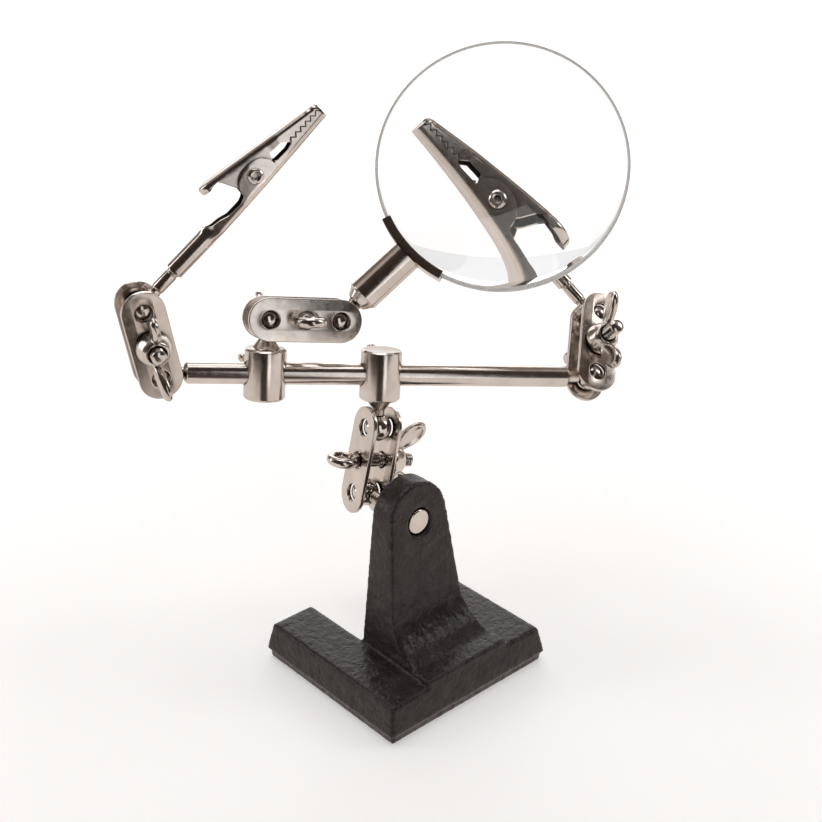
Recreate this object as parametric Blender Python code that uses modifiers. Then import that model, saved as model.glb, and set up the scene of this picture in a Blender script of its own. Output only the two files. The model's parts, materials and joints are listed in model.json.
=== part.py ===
"""Helping hands with a magnifier, for a model maker's bench.

A cast base carries a ball stud. A clamp of two drilled plates grips that ball and the ball of the
centre collar, which holds the crossbar. The crossbar carries the magnifier on a second collar, and
a clamp with a spring clip at each end. Units are metres, +Z is up, the base's broad front faces -Y.
"""
from math import asin, atan2, cos, pi, radians, sin, sqrt

import bmesh
import bpy
from mathutils import Matrix, Vector

OBJECT_NAME = "helping_hands_magnifier"
GAP = 0.0003
FULL_TURN = 2 * pi

# Base casting: a U-shaped foot, open at the back, with a pad and a post across its middle.
BASE_WIDTH = 0.0526
BASE_DEPTH = 0.0496
BASE_TOP = 0.0104
BASE_DRAFT = 0.0015
PARTING_HEIGHT = 0.0025
FOOT_INSET = 0.0008
NOTCH_WIDTH = 0.0260
PAD_TOP = 0.0122
POST_FRONT_Y = -0.0059
POST_BACK_Y = 0.0027
POST_LEAN = 0.125
POST_HALF_WIDTH = 0.0098
POST_TAPER = 0.105
POST_TOP_RADIUS = 0.0095
POST_FILLET_TOP = 0.0250
POST_FILLET_REACH = 0.0115
STUD_HEIGHT = 0.0453
STUD_RADIUS = 0.0035
STUD_BALL_Y = 0.0161

# Ball joints: every ball is gripped between the end holes of two plates.
BALL_RADIUS = 0.0037
BALL_FLAT = 0.0032
NECK_START = BALL_FLAT + GAP
NECK_RADIUS = 0.0016
BALL_STEPS = 20

# Clamps.
HOLE_SPACING = 0.0185
PLATE_RADIUS = 0.0056
PLATE_THICKNESS = 0.0012
PLATE_HALF_GAP = 0.0031
PLATE_OUTER = PLATE_HALF_GAP + PLATE_THICKNESS
BALL_HOLE_RADIUS = 0.00235
BOLT_RADIUS = 0.0019
EYE_RADIUS = 0.0042
EYE_HOLE_RADIUS = 0.0021
EYE_THICKNESS = 0.0026
NUT_HEIGHT = 0.0046
NUT_BASE_RADIUS = 0.0045
NUT_TOP_RADIUS = 0.0033
WING_THICKNESS = 0.0022

# Crossbar and its collars.
BAR_RADIUS = 0.0029
BAR_LEFT_BALL = -0.0576
BAR_RIGHT_BALL = 0.0584
BAR_END_REACH = 0.0066
BAR_CHAMFER = 0.0007
COLLAR_RADIUS = 0.0054
COLLAR_HALF_LENGTH = 0.0067
COLLAR_CHAMFER = 0.0005
COLLAR_BALL_REACH = 0.0143
COLLAR_CONE_RADIUS = 0.0036
MAGNIFIER_COLLAR_PLACE = -0.0304
SCREW_RADIUS = 0.0015
SCREW_HEAD_RADIUS = 0.0026
SCREW_HEAD_START = 0.0080
SCREW_HEAD_END = 0.0135
TOMMY_PLACE = 0.0112
TOMMY_RADIUS = 0.0009
TOMMY_BALL_RADIUS = 0.0012
TOMMY_HALF_LENGTH = 0.0062

# Magnifier.
LENS_RADIUS = 0.0330
LENS_CURVATURE = 0.0880
LENS_EDGE = 0.0026
LENS_CHAMFER = 0.0004
LENS_REACH = 0.0586
HANDLE_RADIUS = 0.0044
HANDLE_SHOULDER = 0.0095
CRADLE_FLOOR = 0.0008
CRADLE_HALF_WIDTH = 0.0027
CRADLE_FLANGE = 0.0008
CRADLE_DEPTH = 0.0014
CRADLE_HALF_ANGLE = radians(18.5)

# Spring clips, measured from the centre of the clip's ball.
STEM_RADIUS = 0.0017
STEM_END = 0.0220
BARREL_START = 0.0122
BARREL_END = 0.0235
BARREL_RADIUS = 0.0023
CLIP_TIP = 0.0655
SHEET = 0.0007
RIVET_X = 0.0428
RIVET_Z = 0.0022
RIVET_RADIUS = 0.0011
RIVET_HEAD_RADIUS = 0.0018
RIVET_BORE = 0.0006
EAR_RADIUS = 0.0046
TOOTH_PITCH = 0.00175
TOOTH_COUNT = 6
TOOTH_DEPTH = 0.0010
BITE_HEIGHT = 0.0013
SPRING_RADIUS = 0.0019
SPRING_WIRE = 0.0003
SPRING_TURNS = 2.5

# Directions as (azimuth, elevation) in degrees: azimuth 0 is +X, elevation 90 is +Z.
LOWER_CLAMP_AIM = (-3.0, 76.0)
LOWER_CLAMP_EYE = (166.6, 13.7)
BAR_AIM = (-30.0, -6.0)
CENTER_COLLAR_AIM = (33.0, 76.7)
MAGNIFIER_COLLAR_AIM = (31.4, 77.5)
MAGNIFIER_CLAMP_AIM = (-24.4, -8.5)
MAGNIFIER_CLAMP_EYE = (-112.0, 16.0)
HANDLE_AIM = (-19.7, 37.9)
LENS_FACE_AIM = (-137.4, 31.0)
LEFT_CLAMP_AIM = (175.7, 80.2)
LEFT_CLAMP_EYE = (71.2, 2.5)
LEFT_CLIP_AIM = (-19.7, 41.5)
LEFT_CLIP_BACK = (141.6, 46.9)
RIGHT_CLAMP_AIM = (39.2, 39.5)
RIGHT_CLAMP_EYE = (77.3, -44.3)
RIGHT_CLIP_AIM = (110.6, 41.7)
RIGHT_CLIP_BACK = (-22.8, 37.7)

# Angles of each eye's own axis and of each nut's wings about the bolt, from the clamp's length.
EYE_ANGLES = {
    "lower_clamp": 0.0,
    "magnifier_clamp": 90.0,
    "left_clamp": 0.0,
    "right_clamp": 0.0,
}
WING_ANGLES = {
    "lower_clamp": 8.0,
    "magnifier_clamp": 35.0,
    "left_clamp": -12.0,
    "right_clamp": 10.0,
}
# How far each bolt's end stands out of its clamp's outer face.
BOLT_TIPS = {
    "lower_clamp": 0.0080,
    "magnifier_clamp": 0.0080,
    "left_clamp": 0.0075,
    "right_clamp": 0.0105,
}


# ---------------------------------------------------------------- scene, materials, placing

def clear_scene():
    for item in list(bpy.data.objects):
        bpy.data.objects.remove(item, do_unlink=True)


def new_collection(name):
    collection = bpy.data.collections.new(name)
    bpy.context.scene.collection.children.link(collection)
    return collection


def new_material(name, color, roughness, metallic, transmission=0.0):
    material = bpy.data.materials.new(name)
    material.use_nodes = True
    shader = material.node_tree.nodes["Principled BSDF"]
    shader.inputs["Base Color"].default_value = (*color, 1.0)
    shader.inputs["Roughness"].default_value = roughness
    shader.inputs["Metallic"].default_value = metallic
    shader.inputs["Transmission Weight"].default_value = transmission
    material.diffuse_color = (*color, 1.0)
    return material


def aim(azimuth, elevation):
    """Unit vector from an azimuth and an elevation in degrees."""
    across = cos(radians(elevation))
    return Vector((
        across * cos(radians(azimuth)),
        across * sin(radians(azimuth)),
        sin(radians(elevation)),
    ))


def frame_at(origin, x_axis, z_hint):
    """Placement at origin whose X is x_axis and whose Z is as near z_hint as it can be."""
    x_axis = x_axis.normalized()
    z_axis = (z_hint - x_axis * z_hint.dot(x_axis)).normalized()
    y_axis = z_axis.cross(x_axis)
    turn = Matrix((x_axis, y_axis, z_axis)).transposed().to_4x4()
    return Matrix.Translation(origin) @ turn


PLACES = {}


def pivot(name, place, parent=None):
    """Empty that carries one moving group; its origin is on the group's joint axis."""
    empty = bpy.data.objects.new(name, None)
    empty.empty_display_size = 0.005
    PARTS.objects.link(empty)
    PLACES[empty] = place
    if parent:
        empty.parent = parent
        empty.matrix_local = PLACES[parent].inverted() @ place
    else:
        empty.matrix_local = place
    return empty


def add_part(name, data, material, parent, local=Matrix.Identity(4)):
    """Named part made from a mesh or a curve, placed in its parent pivot's frame."""
    part = bpy.data.objects.new(name, data)
    data.materials.append(material)
    PARTS.objects.link(part)
    part.parent = parent
    part.matrix_local = local
    if isinstance(data, bpy.types.Mesh):
        smooth(data)
    return part


def add_cutter(name, data, parent, local=Matrix.Identity(4)):
    cutter = bpy.data.objects.new(name, data)
    CUTTERS.objects.link(cutter)
    cutter.parent = parent
    cutter.matrix_local = local
    cutter.hide_render = True
    cutter.display_type = "WIRE"
    return cutter


def boolean(part, cutter, operation):
    modifier = part.modifiers.new(cutter.name, "BOOLEAN")
    modifier.operation = operation
    modifier.object = cutter
    return modifier


def smooth(mesh):
    mesh.shade_smooth()
    mesh.set_sharp_from_angle(angle=radians(32))


# ---------------------------------------------------------------- shapes

def arc(radius, start, end, count, center=(0.0, 0.0)):
    """Points along an arc, angles in radians, both ends included."""
    step = (end - start) / count
    return [
        (center[0] + radius * cos(start + step * i), center[1] + radius * sin(start + step * i))
        for i in range(count + 1)
    ]


def circle(radius, count, center=(0.0, 0.0)):
    return arc(radius, 0.0, FULL_TURN * (count - 1) / count, count - 1, center)


def obround(radius, length, count):
    """Outline with round ends, its first centre at the origin and its second at +X."""
    far_end = arc(radius, -pi / 2, pi / 2, count, (length, 0.0))
    near_end = arc(radius, pi / 2, 3 * pi / 2, count)
    return far_end + near_end


def prism(name, outline, half_width, across="Y"):
    """Flat outline pushed out both ways. Across Y the outline is (x, z), across Z it is (x, y)."""
    lift = {
        "X": lambda a, b: (-half_width, a, b),
        "Y": lambda a, b: (a, -half_width, b),
        "Z": lambda a, b: (a, b, -half_width),
    }[across]
    push = {"X": (1, 0, 0), "Y": (0, 1, 0), "Z": (0, 0, 1)}[across]
    shape = bmesh.new()
    face = shape.faces.new([shape.verts.new(lift(a, b)) for a, b in outline])
    grown = bmesh.ops.extrude_face_region(shape, geom=[face])
    moved = [item for item in grown["geom"] if isinstance(item, bmesh.types.BMVert)]
    bmesh.ops.translate(shape, verts=moved, vec=Vector(push) * 2 * half_width)
    return finished_mesh(name, shape)


def finished_mesh(name, shape):
    bmesh.ops.recalc_face_normals(shape, faces=shape.faces)
    mesh = bpy.data.meshes.new(name)
    shape.to_mesh(mesh)
    shape.free()
    return mesh


def flat_plate(name, outline, holes, thickness):
    """2D curve with holes, extruded to a plate centred on its own plane."""
    curve = bpy.data.curves.new(name, "CURVE")
    curve.dimensions = "2D"
    curve.fill_mode = "BOTH"
    curve.extrude = thickness / 2
    for points in [outline, *holes]:
        spline = curve.splines.new("POLY")
        spline.points.add(len(points) - 1)
        for point, (x, y) in zip(spline.points, points):
            point.co = (x, y, 0.0, 1.0)
        spline.use_cyclic_u = True
    return curve


def turned(name, profile, material, parent, local=Matrix.Identity(4), steps=BALL_STEPS,
           closed=False):
    """Profile of (radius, height) points, top to bottom down its outer side, turned about Z."""
    shape = bmesh.new()
    verts = [shape.verts.new((radius, 0.0, height)) for radius, height in profile]
    for first, second in zip(verts, verts[1:]):
        shape.edges.new((first, second))
    if closed:
        shape.edges.new((verts[-1], verts[0]))
    mesh = bpy.data.meshes.new(name)
    shape.to_mesh(mesh)
    shape.free()
    part = add_part(name, mesh, material, parent, local)
    screw = part.modifiers.new("turn", "SCREW")
    screw.axis = "Z"
    screw.steps = steps
    screw.render_steps = steps
    screw.use_merge_vertices = True
    screw.merge_threshold = 0.00001
    screw.use_smooth_shade = True
    return part


def rod_mesh(name, radius, start, end, steps=16):
    """Plain cylinder along Z from start to end."""
    shape = bmesh.new()
    bmesh.ops.create_cone(
        shape, cap_ends=True, segments=steps, radius1=radius, radius2=radius, depth=end - start,
        matrix=Matrix.Translation((0.0, 0.0, (start + end) / 2)),
    )
    return finished_mesh(name, shape)


TURN_Z_TO_X = Matrix.Rotation(pi / 2, 4, "Y")
TURN_Z_TO_Y = Matrix.Rotation(-pi / 2, 4, "X")
TURN_Z_TO_MINUS_X = Matrix.Rotation(-pi / 2, 4, "Y")


def ball(name, parent, local):
    """Ball of a joint. Its flat, where the neck meets it, is towards the local +Z."""
    flat_angle = asin(BALL_FLAT / BALL_RADIUS)
    flat_rim = arc(BALL_RADIUS, flat_angle, -pi / 2, 9)
    return turned(name, [(0.0, BALL_FLAT), *flat_rim[:-1], (0.0, -BALL_RADIUS)], NICKEL, parent, local)


def pull_to_axis(profile):
    """Profile with both ends brought to the turning axis."""
    return [(0.0, profile[0][1]), *profile, (0.0, profile[-1][1])]


# ---------------------------------------------------------------- base

def base_levels():
    """Heights of the foot's outline with how far it stands outside the top outline."""
    return [
        (0.0, BASE_DRAFT - FOOT_INSET),
        (PARTING_HEIGHT, BASE_DRAFT - FOOT_INSET),
        (PARTING_HEIGHT, BASE_DRAFT),
        (BASE_TOP, 0.0),
    ]


def foot_outline(margin):
    right = BASE_WIDTH / 2 + margin
    back = BASE_DEPTH / 2 + margin
    inner = NOTCH_WIDTH / 2 - margin
    depth = POST_BACK_Y + margin
    return [
        (-right, -back), (right, -back), (right, back), (inner, back),
        (inner, depth), (-inner, depth), (-inner, back), (-right, back),
    ]


def foot_mesh():
    """Foot built up level by level, each outline standing a little off the one below."""
    shape = bmesh.new()
    levels = base_levels()
    height, margin = levels[0]
    outline = foot_outline(margin)
    face = shape.faces.new([shape.verts.new((x, y, height)) for x, y in outline])
    for level, (height, margin) in enumerate(levels[1:]):
        below = [Vector(point) for point in outline]
        outline = foot_outline(margin)
        grown = bmesh.ops.extrude_face_region(shape, geom=[face])
        if level:
            bmesh.ops.delete(shape, geom=[face], context="FACES_ONLY")
        face = next(item for item in grown["geom"] if isinstance(item, bmesh.types.BMFace))
        for vert in face.verts:
            distances = [(vert.co.xy - point).length for point in below]
            x, y = outline[distances.index(min(distances))]
            vert.co = (x, y, height)
    return finished_mesh("base_casting", shape)


def post_half_width(height):
    return POST_HALF_WIDTH + POST_TAPER * (STUD_HEIGHT - height)


def post_front(height):
    return POST_FRONT_Y - POST_LEAN * (STUD_HEIGHT - height)


def post_top():
    return STUD_HEIGHT + POST_TOP_RADIUS + 0.0014


def post_side_outline():
    """(y, z) outline: sloping front with a hollow at its foot that runs out over the pad."""
    low = BASE_TOP - 0.002
    top = post_top() + 0.001
    foot = PAD_TOP - GAP
    foot_y = post_front(PAD_TOP) - POST_FILLET_REACH
    hollow = []
    for i in range(9):
        turn = pi / 2 * i / 8
        hollow.append((
            foot_y + (post_front(POST_FILLET_TOP) - foot_y) * sin(turn),
            foot + (POST_FILLET_TOP - foot) * (1 - cos(turn)),
        ))
    back = POST_BACK_Y - GAP
    return [(foot_y, low), *hollow, (post_front(top), top), (back, top), (back, low)]


def post_front_outline():
    """(x, z) outline: tapered sides with a full round at the top."""
    lean = atan2(POST_TAPER, 1.0)
    center = (0.0, post_top() - POST_TOP_RADIUS)
    top = arc(POST_TOP_RADIUS, lean, pi - lean, 14, center)
    low = BASE_TOP - 0.002
    return [(-post_half_width(low), low), (post_half_width(low), low), *top]


def pad_outline():
    """(x, y) outline of the raised pad, which follows the foot of the post."""
    half = post_half_width(PAD_TOP)
    front = -BASE_DEPTH / 2 + 0.0001
    back = POST_BACK_Y - 2 * GAP
    return [(-half - 0.0007, front), (half + 0.0007, front), (half, back), (-half, back)]


def make_base():
    body = pivot("base", Matrix.Identity(4))
    casting = add_part("base_casting", foot_mesh(), CAST_IRON, body)
    post = add_cutter("post_shape", prism("post_shape", post_side_outline(), 0.03, "X"), body)
    sides = add_cutter("post_sides", prism("post_sides", post_front_outline(), 0.03, "Y"), body)
    boolean(post, sides, "INTERSECT")
    pad_height = PAD_TOP - BASE_TOP + 0.002
    pad_place = Matrix.Translation((0.0, 0.0, PAD_TOP - pad_height / 2))
    pad = add_cutter("pad_shape", prism("pad_shape", pad_outline(), pad_height / 2, "Z"), body, pad_place)
    hole_place = Matrix.Translation((0.0, 0.0, STUD_HEIGHT)) @ TURN_Z_TO_Y
    hole = rod_mesh("stud_hole", STUD_RADIUS + GAP, -0.03, 0.03, 24)
    hole = add_cutter("stud_hole", hole, body, hole_place)
    boolean(casting, post, "UNION")
    boolean(casting, pad, "UNION")
    boolean(casting, hole, "DIFFERENCE")
    stud_start = POST_FRONT_Y + 0.0004
    profile = [
        (NECK_RADIUS, -NECK_START),
        (NECK_RADIUS, -0.0060),
        (STUD_RADIUS - 0.0006, -0.0078),
        (STUD_RADIUS, -0.0084),
        (STUD_RADIUS, stud_start - STUD_BALL_Y),
    ]
    place = Matrix.Translation((0.0, STUD_BALL_Y, STUD_HEIGHT)) @ TURN_Z_TO_Y
    turned("base_stud", pull_to_axis(profile), NICKEL, body, place)
    return body


# ---------------------------------------------------------------- ball clamps

def eye_bolt(name, parent, tip, turn):
    """Bolt along Z with a flat ring at its +Z end, turned about the bolt from the clamp's length."""
    ring_height = PLATE_OUTER + GAP + EYE_RADIUS
    half = EYE_THICKNESS / 2
    edge = 0.0006
    profile = [
        (EYE_HOLE_RADIUS + edge, half), (EYE_RADIUS - edge, half), (EYE_RADIUS, half - edge),
        (EYE_RADIUS, edge - half), (EYE_RADIUS - edge, -half), (EYE_HOLE_RADIUS + edge, -half),
        (EYE_HOLE_RADIUS, edge - half), (EYE_HOLE_RADIUS, half - edge),
    ]
    middle = HOLE_SPACING / 2
    ring_turn = Matrix.Rotation(radians(turn), 4, "Z") @ TURN_Z_TO_X
    ring_place = Matrix.Translation((middle, 0.0, ring_height)) @ ring_turn
    ring = turned(name, profile, NICKEL, parent, ring_place, closed=True, steps=24)
    end = -PLATE_OUTER - tip
    shank_end = ring_height - EYE_HOLE_RADIUS - edge
    shank = rod_mesh(name + "_shank", BOLT_RADIUS, end, shank_end, 16)
    shank = add_cutter(name + "_shank", shank, parent, Matrix.Translation((middle, 0.0, 0.0)))
    boolean(ring, shank, "UNION")
    return ring


def wing_outline():
    """(radius, height) outline of one wing, seen flat on."""
    lower = [(0.0030, 0.0010), (0.0056, 0.0014), (0.0080, 0.0034), (0.0100, 0.0066)]
    tip = arc(0.0013, radians(-20), radians(150), 5, (0.0094, 0.0083))
    upper = [(0.0066, 0.0066), (0.0050, 0.0048), (0.0030, 0.0040)]
    return lower + tip + upper


def wing_nut(name, parent, local):
    """Wing nut that stands along its local +Z, its wings towards local +X and -X."""
    bore = BOLT_RADIUS + GAP
    profile = [
        (bore, NUT_HEIGHT), (NUT_TOP_RADIUS, NUT_HEIGHT), (NUT_BASE_RADIUS, 0.0012),
        (NUT_BASE_RADIUS, 0.0), (bore, 0.0),
    ]
    nut = turned(name, profile, NICKEL, parent, local, closed=True, steps=20)
    for side, turn in (("near", 0.0), ("far", pi)):
        wing = prism(name + "_wing", wing_outline(), WING_THICKNESS / 2)
        wing_place = local @ Matrix.Rotation(turn, 4, "Z")
        wing = add_cutter(name + "_wing_" + side, wing, parent, wing_place)
        boolean(nut, wing, "UNION")
    return nut


def make_clamp(name, place, parent):
    """Clamp whose first ball is at its origin, second along +X, and whose eye is towards +Z."""
    body = pivot(name, place, parent)
    outline = obround(PLATE_RADIUS, HOLE_SPACING, 12)
    holes = [
        circle(BALL_HOLE_RADIUS, 20),
        circle(BOLT_RADIUS + GAP, 20, (HOLE_SPACING / 2, 0.0)),
        circle(BALL_HOLE_RADIUS, 20, (HOLE_SPACING, 0.0)),
    ]
    for side, direction in (("eye_side", 1), ("nut_side", -1)):
        plate = flat_plate(f"{name}_plate_{side}", outline, holes, PLATE_THICKNESS)
        height = direction * (PLATE_HALF_GAP + PLATE_THICKNESS / 2)
        add_part(f"{name}_plate_{side}", plate, NICKEL, body, Matrix.Translation((0.0, 0.0, height)))
    eye_bolt(f"{name}_eye_bolt", body, BOLT_TIPS[name], EYE_ANGLES[name])
    seat = Vector((HOLE_SPACING / 2, 0.0, -PLATE_OUTER - GAP))
    turn_over = Matrix.Rotation(pi, 4, "X")
    nut_place = place @ Matrix.Translation(seat) @ turn_over
    nut_place = nut_place @ Matrix.Rotation(radians(WING_ANGLES[name]), 4, "Z")
    nut_body = pivot(f"{name}_nut_pivot", nut_place, body)
    wing_nut(f"{name}_wing_nut", nut_body, Matrix.Identity(4))
    return body


# ---------------------------------------------------------------- collars and crossbar

def collar_screw(prefix, parent, collar_place, side):
    """Set screw with a sliding-type tommy bar, standing out along the collar's local Y."""
    turn = TURN_Z_TO_Y if side > 0 else Matrix.Rotation(pi / 2, 4, "X")
    body = pivot(f"{prefix}_screw_pivot", collar_place @ turn, parent)
    profile = [
        (SCREW_HEAD_RADIUS - 0.0004, SCREW_HEAD_END),
        (SCREW_HEAD_RADIUS, SCREW_HEAD_END - 0.0004),
        (SCREW_HEAD_RADIUS, SCREW_HEAD_START),
        (SCREW_RADIUS, SCREW_HEAD_START),
        (SCREW_RADIUS, BAR_RADIUS + 0.0005),
    ]
    screw = turned(f"{prefix}_screw", pull_to_axis(profile), NICKEL, body, steps=16)
    tilt = Matrix.Rotation(radians(22 if side > 0 else 80), 4, "Z")
    across = tilt @ Matrix.Translation((0.0, 0.0, TOMMY_PLACE)) @ TURN_Z_TO_X
    hole = rod_mesh(f"{prefix}_tommy_hole", TOMMY_RADIUS + 0.00015, -0.004, 0.004, 12)
    hole = add_cutter(f"{prefix}_tommy_hole", hole, body, across)
    boolean(screw, hole, "DIFFERENCE")
    ball_center = TOMMY_HALF_LENGTH - TOMMY_BALL_RADIUS
    join = asin(TOMMY_RADIUS / TOMMY_BALL_RADIUS)
    upper = arc(TOMMY_BALL_RADIUS, pi / 2, -pi / 2 + join, 6, (0.0, ball_center))
    lower = [(radius, -height) for radius, height in reversed(upper)]
    bar = [(0.0, TOMMY_HALF_LENGTH), *upper[1:], *lower[:-1], (0.0, -TOMMY_HALF_LENGTH)]
    turned(f"{prefix}_tommy_bar", bar, NICKEL, body, across, steps=12)


def collar(prefix, place, ball_pivot):
    """Cross-drilled collar. Its local origin is the bar's axis, its ball is towards local +Z."""
    top = COLLAR_HALF_LENGTH
    profile = [
        (NECK_RADIUS, COLLAR_BALL_REACH - NECK_START),
        (NECK_RADIUS, COLLAR_BALL_REACH - 0.0047),
        (COLLAR_CONE_RADIUS, top),
        (COLLAR_RADIUS - COLLAR_CHAMFER, top),
        (COLLAR_RADIUS, top - COLLAR_CHAMFER),
        (COLLAR_RADIUS, COLLAR_CHAMFER - top),
        (COLLAR_RADIUS - COLLAR_CHAMFER, -top),
    ]
    part = turned(prefix, pull_to_axis(profile), NICKEL, ball_pivot, place, steps=28)
    bar_hole = rod_mesh(f"{prefix}_bar_hole", BAR_RADIUS + GAP, -0.02, 0.02, 24)
    bar_hole = add_cutter(f"{prefix}_bar_hole", bar_hole, ball_pivot, place @ TURN_Z_TO_X)
    boolean(part, bar_hole, "DIFFERENCE")
    return part


def collar_screw_hole(part, prefix, place, parent, side):
    turn = TURN_Z_TO_Y if side > 0 else Matrix.Rotation(pi / 2, 4, "X")
    hole = rod_mesh(f"{prefix}_screw_hole", SCREW_RADIUS + GAP, 0.0, 0.02, 14)
    hole = add_cutter(f"{prefix}_screw_hole", hole, parent, place @ turn)
    boolean(part, hole, "DIFFERENCE")


def crossbar(parent):
    """Bar along its pivot's X with a chamfer and a neck at each end."""
    left = BAR_LEFT_BALL
    right = BAR_RIGHT_BALL
    profile = [
        (NECK_RADIUS, right - NECK_START),
        (NECK_RADIUS, right - BAR_END_REACH),
        (BAR_RADIUS - BAR_CHAMFER, right - BAR_END_REACH),
        (BAR_RADIUS, right - BAR_END_REACH - BAR_CHAMFER),
        (BAR_RADIUS, left + BAR_END_REACH + BAR_CHAMFER),
        (BAR_RADIUS - BAR_CHAMFER, left + BAR_END_REACH),
        (NECK_RADIUS, left + BAR_END_REACH),
        (NECK_RADIUS, left + NECK_START),
    ]
    turned("crossbar", pull_to_axis(profile), NICKEL, parent, TURN_Z_TO_X, steps=24)


# ---------------------------------------------------------------- magnifier

def sag(radius):
    return LENS_CURVATURE - sqrt(LENS_CURVATURE ** 2 - radius ** 2)


def lens_profile():
    """Biconvex section with a ground edge and a small chamfer on each side of it."""
    rim = LENS_RADIUS - LENS_CHAMFER
    rings = 9
    front = []
    for i in range(rings + 1):
        radius = rim * i / rings
        front.append((radius, LENS_EDGE / 2 + sag(rim) - sag(radius)))
    edge = LENS_EDGE / 2 - LENS_CHAMFER
    back = [(radius, -height) for radius, height in reversed(front)]
    return [*front, (LENS_RADIUS, edge), (LENS_RADIUS, -edge), *back]


def cradle_mesh():
    """U-section channel swept round the lens's edge, about local Z, its middle towards -X."""
    inner = LENS_RADIUS + GAP
    outer = inner + CRADLE_FLOOR
    lip = LENS_RADIUS - CRADLE_DEPTH
    wide = CRADLE_HALF_WIDTH
    narrow = wide - CRADLE_FLANGE
    section = [
        (lip, wide), (outer, wide), (outer, -wide), (lip, -wide),
        (lip, -narrow), (inner, -narrow), (inner, narrow), (lip, narrow),
    ]
    shape = bmesh.new()
    start = pi - CRADLE_HALF_ANGLE
    verts = [shape.verts.new((r * cos(start), r * sin(start), z)) for r, z in section]
    face = shape.faces.new(verts)
    bmesh.ops.spin(
        shape, geom=[face], axis=(0, 0, 1), cent=(0, 0, 0),
        angle=2 * CRADLE_HALF_ANGLE, steps=12, use_duplicate=False,
    )
    return finished_mesh("lens_cradle", shape)


def make_magnifier(place, parent):
    """Handle, cradle and lens. Local +X runs from the ball to the lens, +Z is the lens's face."""
    body = pivot("magnifier", place, parent)
    end = LENS_REACH - LENS_RADIUS - GAP - CRADLE_FLOOR - GAP
    profile = [
        (HANDLE_RADIUS, end), (HANDLE_RADIUS, HANDLE_SHOULDER),
        (NECK_RADIUS + 0.0002, 0.0056), (NECK_RADIUS, 0.0052), (NECK_RADIUS, NECK_START),
    ]
    handle = turned("magnifier_handle", pull_to_axis(profile), NICKEL, body, TURN_Z_TO_X, steps=28)
    seat_radius = LENS_RADIUS + GAP + CRADLE_FLOOR + GAP
    seat = rod_mesh("handle_seat", seat_radius, -0.01, 0.01, 120)
    lens_center = Matrix.Translation((LENS_REACH, 0.0, 0.0))
    seat = add_cutter("handle_seat", seat, body, lens_center)
    boolean(handle, seat, "DIFFERENCE")
    add_part("lens_cradle", cradle_mesh(), NICKEL, body, lens_center)
    turned("lens", lens_profile(), GLASS, body, lens_center, steps=48)
    return body


# ---------------------------------------------------------------- spring clips

def jaw_plan(points):
    """Mirrored (x, y) outline from (x, half width) points."""
    return points + [(x, -half) for x, half in reversed(points)]


def bite_line(offset):
    """Tooth line from the tip back to the window, (x, z), raised by offset."""
    points = []
    for i in range(TOOTH_COUNT):
        x = CLIP_TIP - 0.0004 - TOOTH_PITCH * i
        points.append((x, BITE_HEIGHT + TOOTH_DEPTH + offset))
        points.append((x - TOOTH_PITCH / 2, BITE_HEIGHT + offset))
    return points


def lower_jaw_outline():
    """Side view of the lower jaw: crimped tail, ear round the rivet, window and teeth."""
    ear = arc(EAR_RADIUS, radians(58), radians(198), 10, (RIVET_X, RIVET_Z))
    window = [(0.0531, 0.0021), (0.0515, 0.0008), (0.0492, 0.0009), (0.0478, 0.0026)]
    tail = [(0.0372, 0.0006), (0.0345, -0.0002), (0.0300, 0.0006), (BARREL_END, BARREL_RADIUS)]
    barrel = [(BARREL_START + 0.0030, BARREL_RADIUS)]
    bottom = [(BARREL_START + 0.0030, -BARREL_RADIUS), (CLIP_TIP, -0.0006)]
    return bottom + [(CLIP_TIP, BITE_HEIGHT)] + bite_line(0.0) + window + ear + tail + barrel


def upper_jaw_outline():
    """Side view of the upper jaw: teeth, straight back and a thumb lever bent up at its end."""
    clear = 0.0004
    back = [(CLIP_TIP, 0.0036), (0.0400, 0.0086), (0.0330, 0.0102), (0.0306, 0.0104)]
    lever = [(0.0306, 0.0092), (0.0335, 0.0087), (0.0350, 0.0083), (0.0355, 0.0075)]
    skirt = [(0.0380, 0.0034), (0.0396, 0.0010), (0.0440, 0.0004), (0.0468, 0.0016)]
    window = [(0.0486, 0.0042), (0.0510, 0.0050), (0.0528, 0.0040)]
    teeth = list(reversed(bite_line(clear)))
    return back + lever + skirt + window + teeth + [(CLIP_TIP, BITE_HEIGHT + clear)]


def make_jaw(name, outline, outer_plan, inner_plan, floor, parent, local):
    """Pressed sheet jaw: side view crossed with a plan, hollowed from floor upwards or downwards."""
    jaw = add_part(name, prism(name, outline, 0.01, "Y"), NICKEL, parent, local)
    plan = prism(name + "_plan", jaw_plan(outer_plan), 0.02, "Z")
    boolean(jaw, add_cutter(name + "_plan", plan, parent, local), "INTERSECT")
    hollow = prism(name + "_hollow", floor, 0.01, "Y")
    hollow = add_cutter(name + "_hollow", hollow, parent, local)
    inner = prism(name + "_inner", jaw_plan(inner_plan), 0.02, "Z")
    boolean(hollow, add_cutter(name + "_inner", inner, parent, local), "INTERSECT")
    boolean(jaw, hollow, "DIFFERENCE")
    return jaw


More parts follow.
